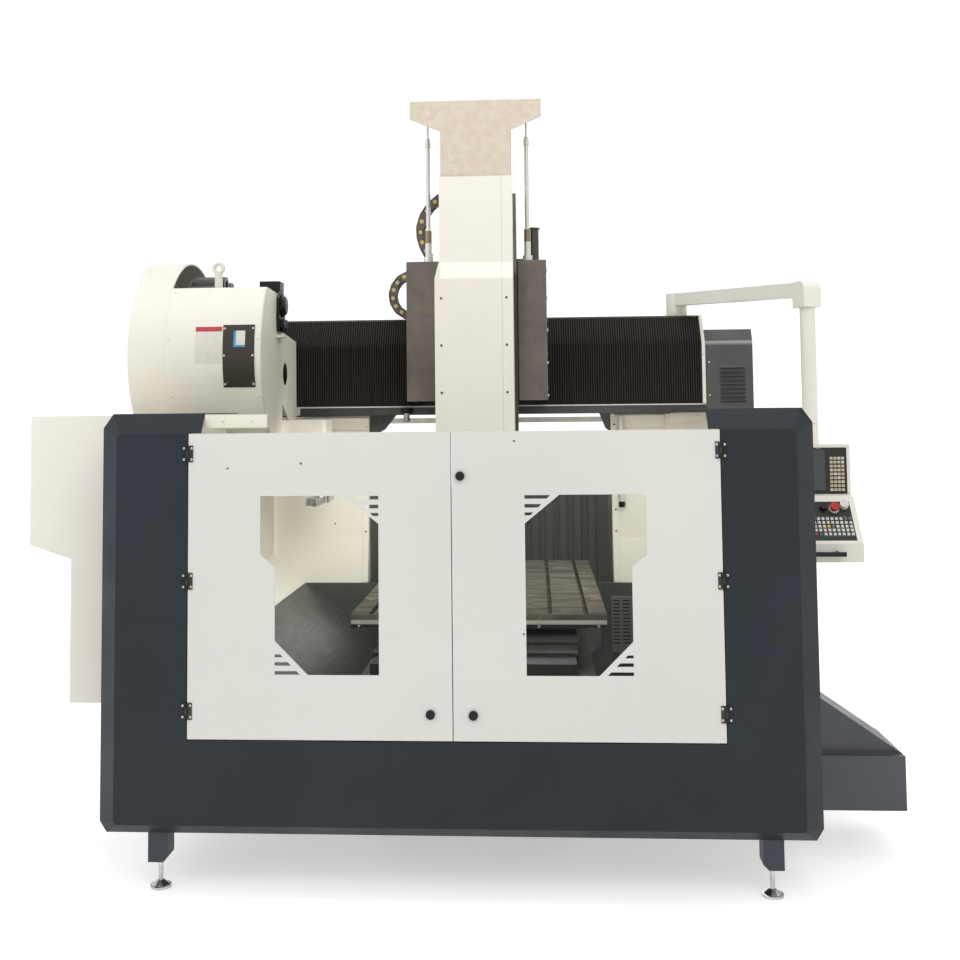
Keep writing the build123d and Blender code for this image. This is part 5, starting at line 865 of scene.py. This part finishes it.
NOZZLE = (-0.336, 0.169, 1.650)
m = Mesh()
m.lathe([(0.030, 0.0), (0.032, 0.004), (0.032, 0.016), (0.024, 0.024), (0.0, 0.024)], NOZZLE, DOWN, 28)
m.box((-0.348, -0.324), (0.169, 0.200), (1.640, 1.6495))
m.slot = 1
m.lathe([(0.015, 0.024), (0.015, 0.048), (0.0185, 0.051), (0.0185, 0.060), (0.011, 0.065), (0.0, 0.064)],
        NOZZLE, DOWN, 28)
m.piece("air_nozzle", "frame", black_metal, bright)

# End plates of the bellows on the crossbeam
m = Mesh()
for ends in ((1.1015, 1.1170), (-1.0015, -0.9855)):
    m.prism([(0.194, 1.662), (0.240, 1.662), (0.240, 1.950), (0.330, 2.098), (0.286, 2.098), (0.194, 1.957)],
            *ends, "X")
m.screws([(x, 0.194, z) for z in (1.70, 1.80, 1.90) for x in (1.1093, -0.9935)], FRONT, 0.0042, 0.0026)
m.piece("bellows_ends", "frame", frame_cream, bevel=0.0012)

# Caps of the column covers: folded plates with a raised rim and a screw
m = Mesh()
for x, z in (((-0.882, -0.553), (1.535, 1.604)), ((0.690, 0.935), (1.535, 1.606))):
    y, inner = 0.382, ((x[0] + 0.009, x[1] - 0.009), (z[0] + 0.007, z[1] - 0.007))
    m.box(x, (y - 0.003, y), z)
    for strip_x, strip_z in plate_ring(x, z, *inner):
        m.box(strip_x, (y - 0.007, y - 0.003), strip_z)
    m.screw(((x[0] * 0.72 + x[1] * 0.28), y - 0.003, (z[0] + z[1]) / 2), FRONT, 0.0042, 0.003)
m.piece("cover_caps", "frame", guard_panel, bevel=0.0012)

m = Mesh()
m.prism([(0.950, 1.573), (1.142, 1.576), (1.142, 1.630), (0.950, 1.614)], 0.286, 0.290)
m.prism([(1.138, 1.576), (1.142, 1.576), (1.142, 1.630), (1.138, 1.629)], 0.290, 0.384)
m.prism([(0.950, 1.610), (1.142, 1.626), (1.142, 1.630), (0.950, 1.614)], 0.290, 0.384)
m.screw((1.085, 0.286, 1.604), FRONT, 0.004, 0.003)
m.piece("corner_plate", "frame", frame_cream, bevel=0.0008)

m = Mesh()
m.box((-0.866, -0.645), (-1.4560, -1.4530), (1.584, 1.631))
m.box((-0.866, -0.645), (-1.4530, -1.4300), (1.628, 1.631))
m.screws([(x, -1.456, 1.607) for x in (-0.80, -0.70)], FRONT, 0.004, 0.0028)
m.piece("front_strip", "frame", guard_panel, bevel=0.0008)

# Screwed strips along the inner edges of the column covers, work lamp and the table's front plate
m = Mesh()
for ends in ((-0.580, -0.5515), (0.6675, 0.700)):
    m.prism([(0.3870, 1.602), (0.3497, 1.005), (0.3126, 0.790), (0.3091, 0.790), (0.3462, 1.005),
             (0.3835, 1.602)], *ends, "X")
m.slot = 1
for x in (-0.566, 0.684):
    m.screws([(x, 0.3475 + 0.0068 * k, 1.035 + 0.105 * k) for k in range(6)], FRONT, 0.0045, 0.003)
m.piece("cover_strips", "frame", guard_panel, dark_steel)

LAMP = (0.712, 0.315, 1.600)
m = Mesh()
m.lathe([(0.0, 0.0), (0.013, 0.0), (0.0135, 0.004), (0.0135, 0.414), (0.012, 0.418)], LAMP, DOWN)
m.slot = 1
m.lathe([(0.012, 0.418), (0.016, 0.421), (0.016, 0.440), (0.012, 0.446), (0.0, 0.446)], LAMP, DOWN)
m.slot = 2
m.box((0.702, 0.722), (0.315, 0.378), (1.500, 1.516))
m.piece("work_lamp", "frame", key_white, black_plastic, frame_cream)

TABLE_X = (-0.4405, 0.5565)
m = Mesh()
m.box(TABLE_X, (-0.9032, -0.9000), (0.8225, 0.8448))
m.slot = 1
m.box(TABLE_X, (-0.9046, -0.9010), (0.8065, 0.8220))
m.slot = 2
m.screws([(x, -0.9036, 0.7985) for x in (-0.410, -0.178, 0.294, 0.526)], FRONT, 0.0060, 0.0035)
# The dark strip below the light one is painted shade: a dark plate in the shaded gap under it
m.slot = 3
m.box(TABLE_X, (-0.9036, -0.9028), (0.7945, 0.8060))
m.piece("table_front_plate", "table", front_iron, guard_panel, screw_mat, dark_steel, bevel=0.0004)

# Folded ribs of the rear guard
m = Mesh()
for k in range(14):
    x = -0.500 + 0.084 * k
    m.prism([(x, 1.5095), (x + 0.009, 1.4985), (x + 0.046, 1.4985), (x + 0.055, 1.5095)], 0.62, 1.176, "Z")
m.piece("rear_folds", "frame", rear_grey, bevel=0.001)

# Angle on the rear edge of the left side guard, slotted face of the splash plate beside the table
m = Mesh()
m.box((-1.0495, -1.0220), (0.2965, 0.2995), (0.930, 1.598))
m.box((-1.0495, -1.0465), (0.2700, 0.2965), (0.930, 1.598))
m.screws([(-1.036, 0.2965, 0.98 + 0.14 * k) for k in range(5)], FRONT, 0.004, 0.003)
m.piece("guard_angle", "frame", frame_cream, bevel=0.0008)

m = Mesh()
m.box((0.5755, 0.6995), (-0.9066, -0.9050), (0.700, 0.9145))
# The slots are painted shade: dark strips in place of shaded openings
m.slot = 1
for slot_x in ((0.580, 0.607), (0.617, 0.645), (0.655, 0.683)):
    for k in range(13):
        z = 0.735 + 0.0135 * k
        m.box(slot_x, (-0.9072, -0.9064), (z, z + 0.0048))
m.piece("splash_face", "frame", cast_paint, shade_black_mat, bevel=0.0004)


# Small screws of the ram cover, the doors and the column covers
def screw_piece(name, body, places, r, high):
    """Dark screws that face the front, as a piece of their own."""
    m = Mesh()
    m.screws(places, FRONT, r, high)
    m.piece(name, body, pot_steel)


screw_piece("ram_cover_screws", "ram",
            [(x, -0.242, 2.148 - 0.215 * k) for x in (-0.130, 0.167) for k in range(4)], 0.0056, 0.0018)
screw_piece("door_screws_left", "door_left", [(-0.773, DOOR_FACE, 1.446), (-0.517, DOOR_FACE, 1.461)],
            0.0036, 0.002)
screw_piece("door_screws_right", "door_right", [(0.217, DOOR_FACE, 1.5325), (0.242, DOOR_FACE, 0.884)],
            0.0036, 0.002)
SLOPE_SCREWS = ((0.3542, 1.075), (0.3646, 1.240), (0.3746, 1.400))
screw_piece("cover_screws", "frame", [(x, y, z) for x in (-0.722, 0.838) for y, z in SLOPE_SCREWS],
            0.0045, 0.003)

# Bearing cap and bolts on the outer face of the drum, ribs of the side guards
CAP = (-1.441, DRUM_Y, DRUM_Z)
m = Mesh()
m.lathe([(0.105, -0.0002), (0.105, 0.008), (0.098, 0.011), (0.070, 0.011), (0.066, 0.020), (0.030, 0.022),
         (0.0, 0.022)], CAP, LEFT, 48)
m.slot = 1
for place in ring_of((-1.452, DRUM_Y, DRUM_Z), 0.084, 6):
    m.bolt(place, LEFT, 0.006, 0.006)
m.screws(ring_of(CAP, 0.405, 16, 0.1), LEFT, 0.0055, 0.003)
m.piece("drum_cap", "frame", frame_cream, screw_mat)

RIB_Y = (-0.47, -0.10, 0.22)
m = Mesh()
for x0, x1 in ((-1.0600, -1.0520), (1.1680, 1.1760)):
    for y in RIB_Y:
        m.prism([(x0, y - 0.020), (x1, y - 0.020), (x1, y + 0.020), (x0, y + 0.020)], 0.945, 1.585, "Z")
m.slot = 1
for x, way in ((-1.060, LEFT), (1.176, RIGHT)):
    m.screws([(x, y, z) for y in RIB_Y for z in (0.97, 1.27, 1.56)], way, 0.0045, 0.0028)
m.piece("guard_ribs", "frame", guard_panel, screw_mat, bevel=0.0015)

# Painted shadow under the louvers of the motor cover, as dark strips below the blades, and its two screws
m = Mesh()
for k in range(9):
    z = 1.672 + 0.020 * k
    m.prism([(1.190, z - 0.0060), (1.304, z - 0.0060), (1.306, z - 0.0045), (1.306, z - 0.0010), (1.304, z),
             (1.190, z), (1.188, z - 0.0010), (1.188, z - 0.0045)], 0.1931, 0.1945)
m.slot = 1
m.screws([(1.134, 0.1945, z) for z in (1.70, 1.86)], FRONT, 0.0045, 0.003)
m.piece("louver_shadows", "frame", shade_black_mat, screw_mat)


# ---------------------------------------------------------------- camera, floor and light
def camera():
    """The photograph's view: standing in front of the doors, a little to the right, looking slightly up."""
    yaw, pitch, roll = -0.05985, 0.06289, 0.00961
    ahead = Vector((math.sin(yaw) * math.cos(pitch), math.cos(yaw) * math.cos(pitch), math.sin(pitch)))
    right = Vector((math.cos(yaw), -math.sin(yaw), 0.0))
    down = ahead.cross(right)
    right, down = (
        right * math.cos(roll) + down * math.sin(roll),
        down * math.cos(roll) - right * math.sin(roll),
    )
    data = bpy.data.cameras.new("camera")
    data.lens = 43.125
    data.sensor_width = 36.0
    data.shift_x = 0.0156
    data.shift_y = -0.1485
    data.clip_end = 60.0
    obj = bpy.data.objects.new("camera", data)
    axes = Matrix((right, -down, -ahead)).transposed().to_4x4()
    obj.matrix_world = Matrix.Translation((0.28872, -5.4347, 1.640)) @ axes
    bpy.context.scene.collection.objects.link(obj)
    bpy.context.scene.camera = obj


def seen_ray(tree):
    """1 for rays that show the background: from the camera, in a gloss or through glass."""
    path = tree.nodes.new("ShaderNodeLightPath")
    seen = path.outputs["Is Camera Ray"]
    for kind in ("Is Glossy Ray", "Is Transmission Ray"):
        node = tree.nodes.new("ShaderNodeMath")
        node.operation = "MAXIMUM"
        tree.links.new(seen, node.inputs[0])
        tree.links.new(path.outputs[kind], node.inputs[1])
        seen = node.outputs[0]
    return seen


def sky():
    """Soft white light all round, and a pure white where it is seen."""
    soft, pure = ((0.97, 0.985, 1.0, 1.0), 0.78), ((1.0, 1.0, 1.0, 1.0), 1.0)
    world = bpy.data.worlds.new("studio")
    bpy.context.scene.world = world
    world.use_nodes = True
    tree = world.node_tree
    tree.nodes.clear()
    mix = tree.nodes.new("ShaderNodeMixShader")
    out = tree.nodes.new("ShaderNodeOutputWorld")
    tree.links.new(seen_ray(tree), mix.inputs[0])
    for socket, (colour, strength) in ((1, soft), (2, pure)):
        shine = tree.nodes.new("ShaderNodeBackground")
        shine.inputs["Color"].default_value = colour
        shine.inputs["Strength"].default_value = strength
        tree.links.new(shine.outputs[0], mix.inputs[socket])
    tree.links.new(mix.outputs[0], out.inputs[0])


def ground():
    """White floor that sweeps up behind the machine; it glows a little, so that it stays white."""
    glow = 0.45
    m = bmesh.new()
    rows = []
    for y, z in ((-30.0, 0.0), (14.0, 0.0), (17.0, 0.6), (19.0, 2.2), (20.0, 5.0), (20.0, 16.0)):
        rows.append([m.verts.new((x, y, z)) for x in (-30.0, 30.0)])
    for a, b in zip(rows, rows[1:]):
        m.faces.new((a[0], a[1], b[1], b[0]))
    mesh = bpy.data.meshes.new("floor")
    m.to_mesh(mesh)
    m.free()
    floor = bpy.data.objects.new("floor", mesh)
    bpy.context.scene.collection.objects.link(floor)
    p = Paint("floor")
    tone = p.mix(p.cloud(0.7, 4.0, 0.3, 0.7), (0.9, 0.9, 0.895, 1.0), (0.88, 0.88, 0.875, 1.0))
    p.finish(tone, p.dulled(3.0, 0.6, 0.8), p.noise(60.0), 0.05, 0.001)
    p.bsdf.inputs["Emission Color"].default_value = (1.0, 1.0, 1.0, 1.0)
    p.link(p.times(seen_ray(p.tree), glow), p.bsdf.inputs["Emission Strength"])
    mesh.materials.append(p.mat)


def lamp(name, place, aim, size, power, colour):
    """Rectangular area light at a place, pointed at another."""
    data = bpy.data.lights.new(name, "AREA")
    data.shape = "RECTANGLE"
    data.size, data.size_y = size
    data.energy = power
    data.color = colour
    obj = bpy.data.objects.new(name, data)
    obj.location = place
    obj.rotation_euler = (Vector(aim) - Vector(place)).to_track_quat("-Z", "Y").to_euler()
    bpy.context.scene.collection.objects.link(obj)


camera()
sky()
ground()
lamp("key", (2.6, -6.5, 6.2), (0.0, -0.6, 1.2), (5.0, 3.0), 110.0, (1.0, 0.985, 0.96))
lamp("fill", (-5.5, -4.5, 4.0), (0.0, 0.0, 1.4), (4.0, 4.0), 70.0, (0.98, 0.99, 1.0))
lamp("top", (0.0, -0.4, 7.0), (0.0, -0.2, 1.0), (5.0, 4.0), 105.0, (1.0, 1.0, 1.0))
lamp("back", (1.0, 7.0, 5.0), (0.0, 0.0, 1.4), (5.0, 3.0), 90.0, (1.0, 1.0, 1.0))
lamp("inside_left", (-0.42, -0.30, 1.30), (-0.74, 0.40, 0.98), (0.45, 0.35), 3.0, (1.0, 0.98, 0.94))
lamp("inside_right", (0.66, -0.42, 1.40), (0.76, 0.40, 1.05), (0.45, 0.35), 2.2, (1.0, 0.98, 0.94))

scene = bpy.context.scene
scene.view_settings.view_transform = "Standard"
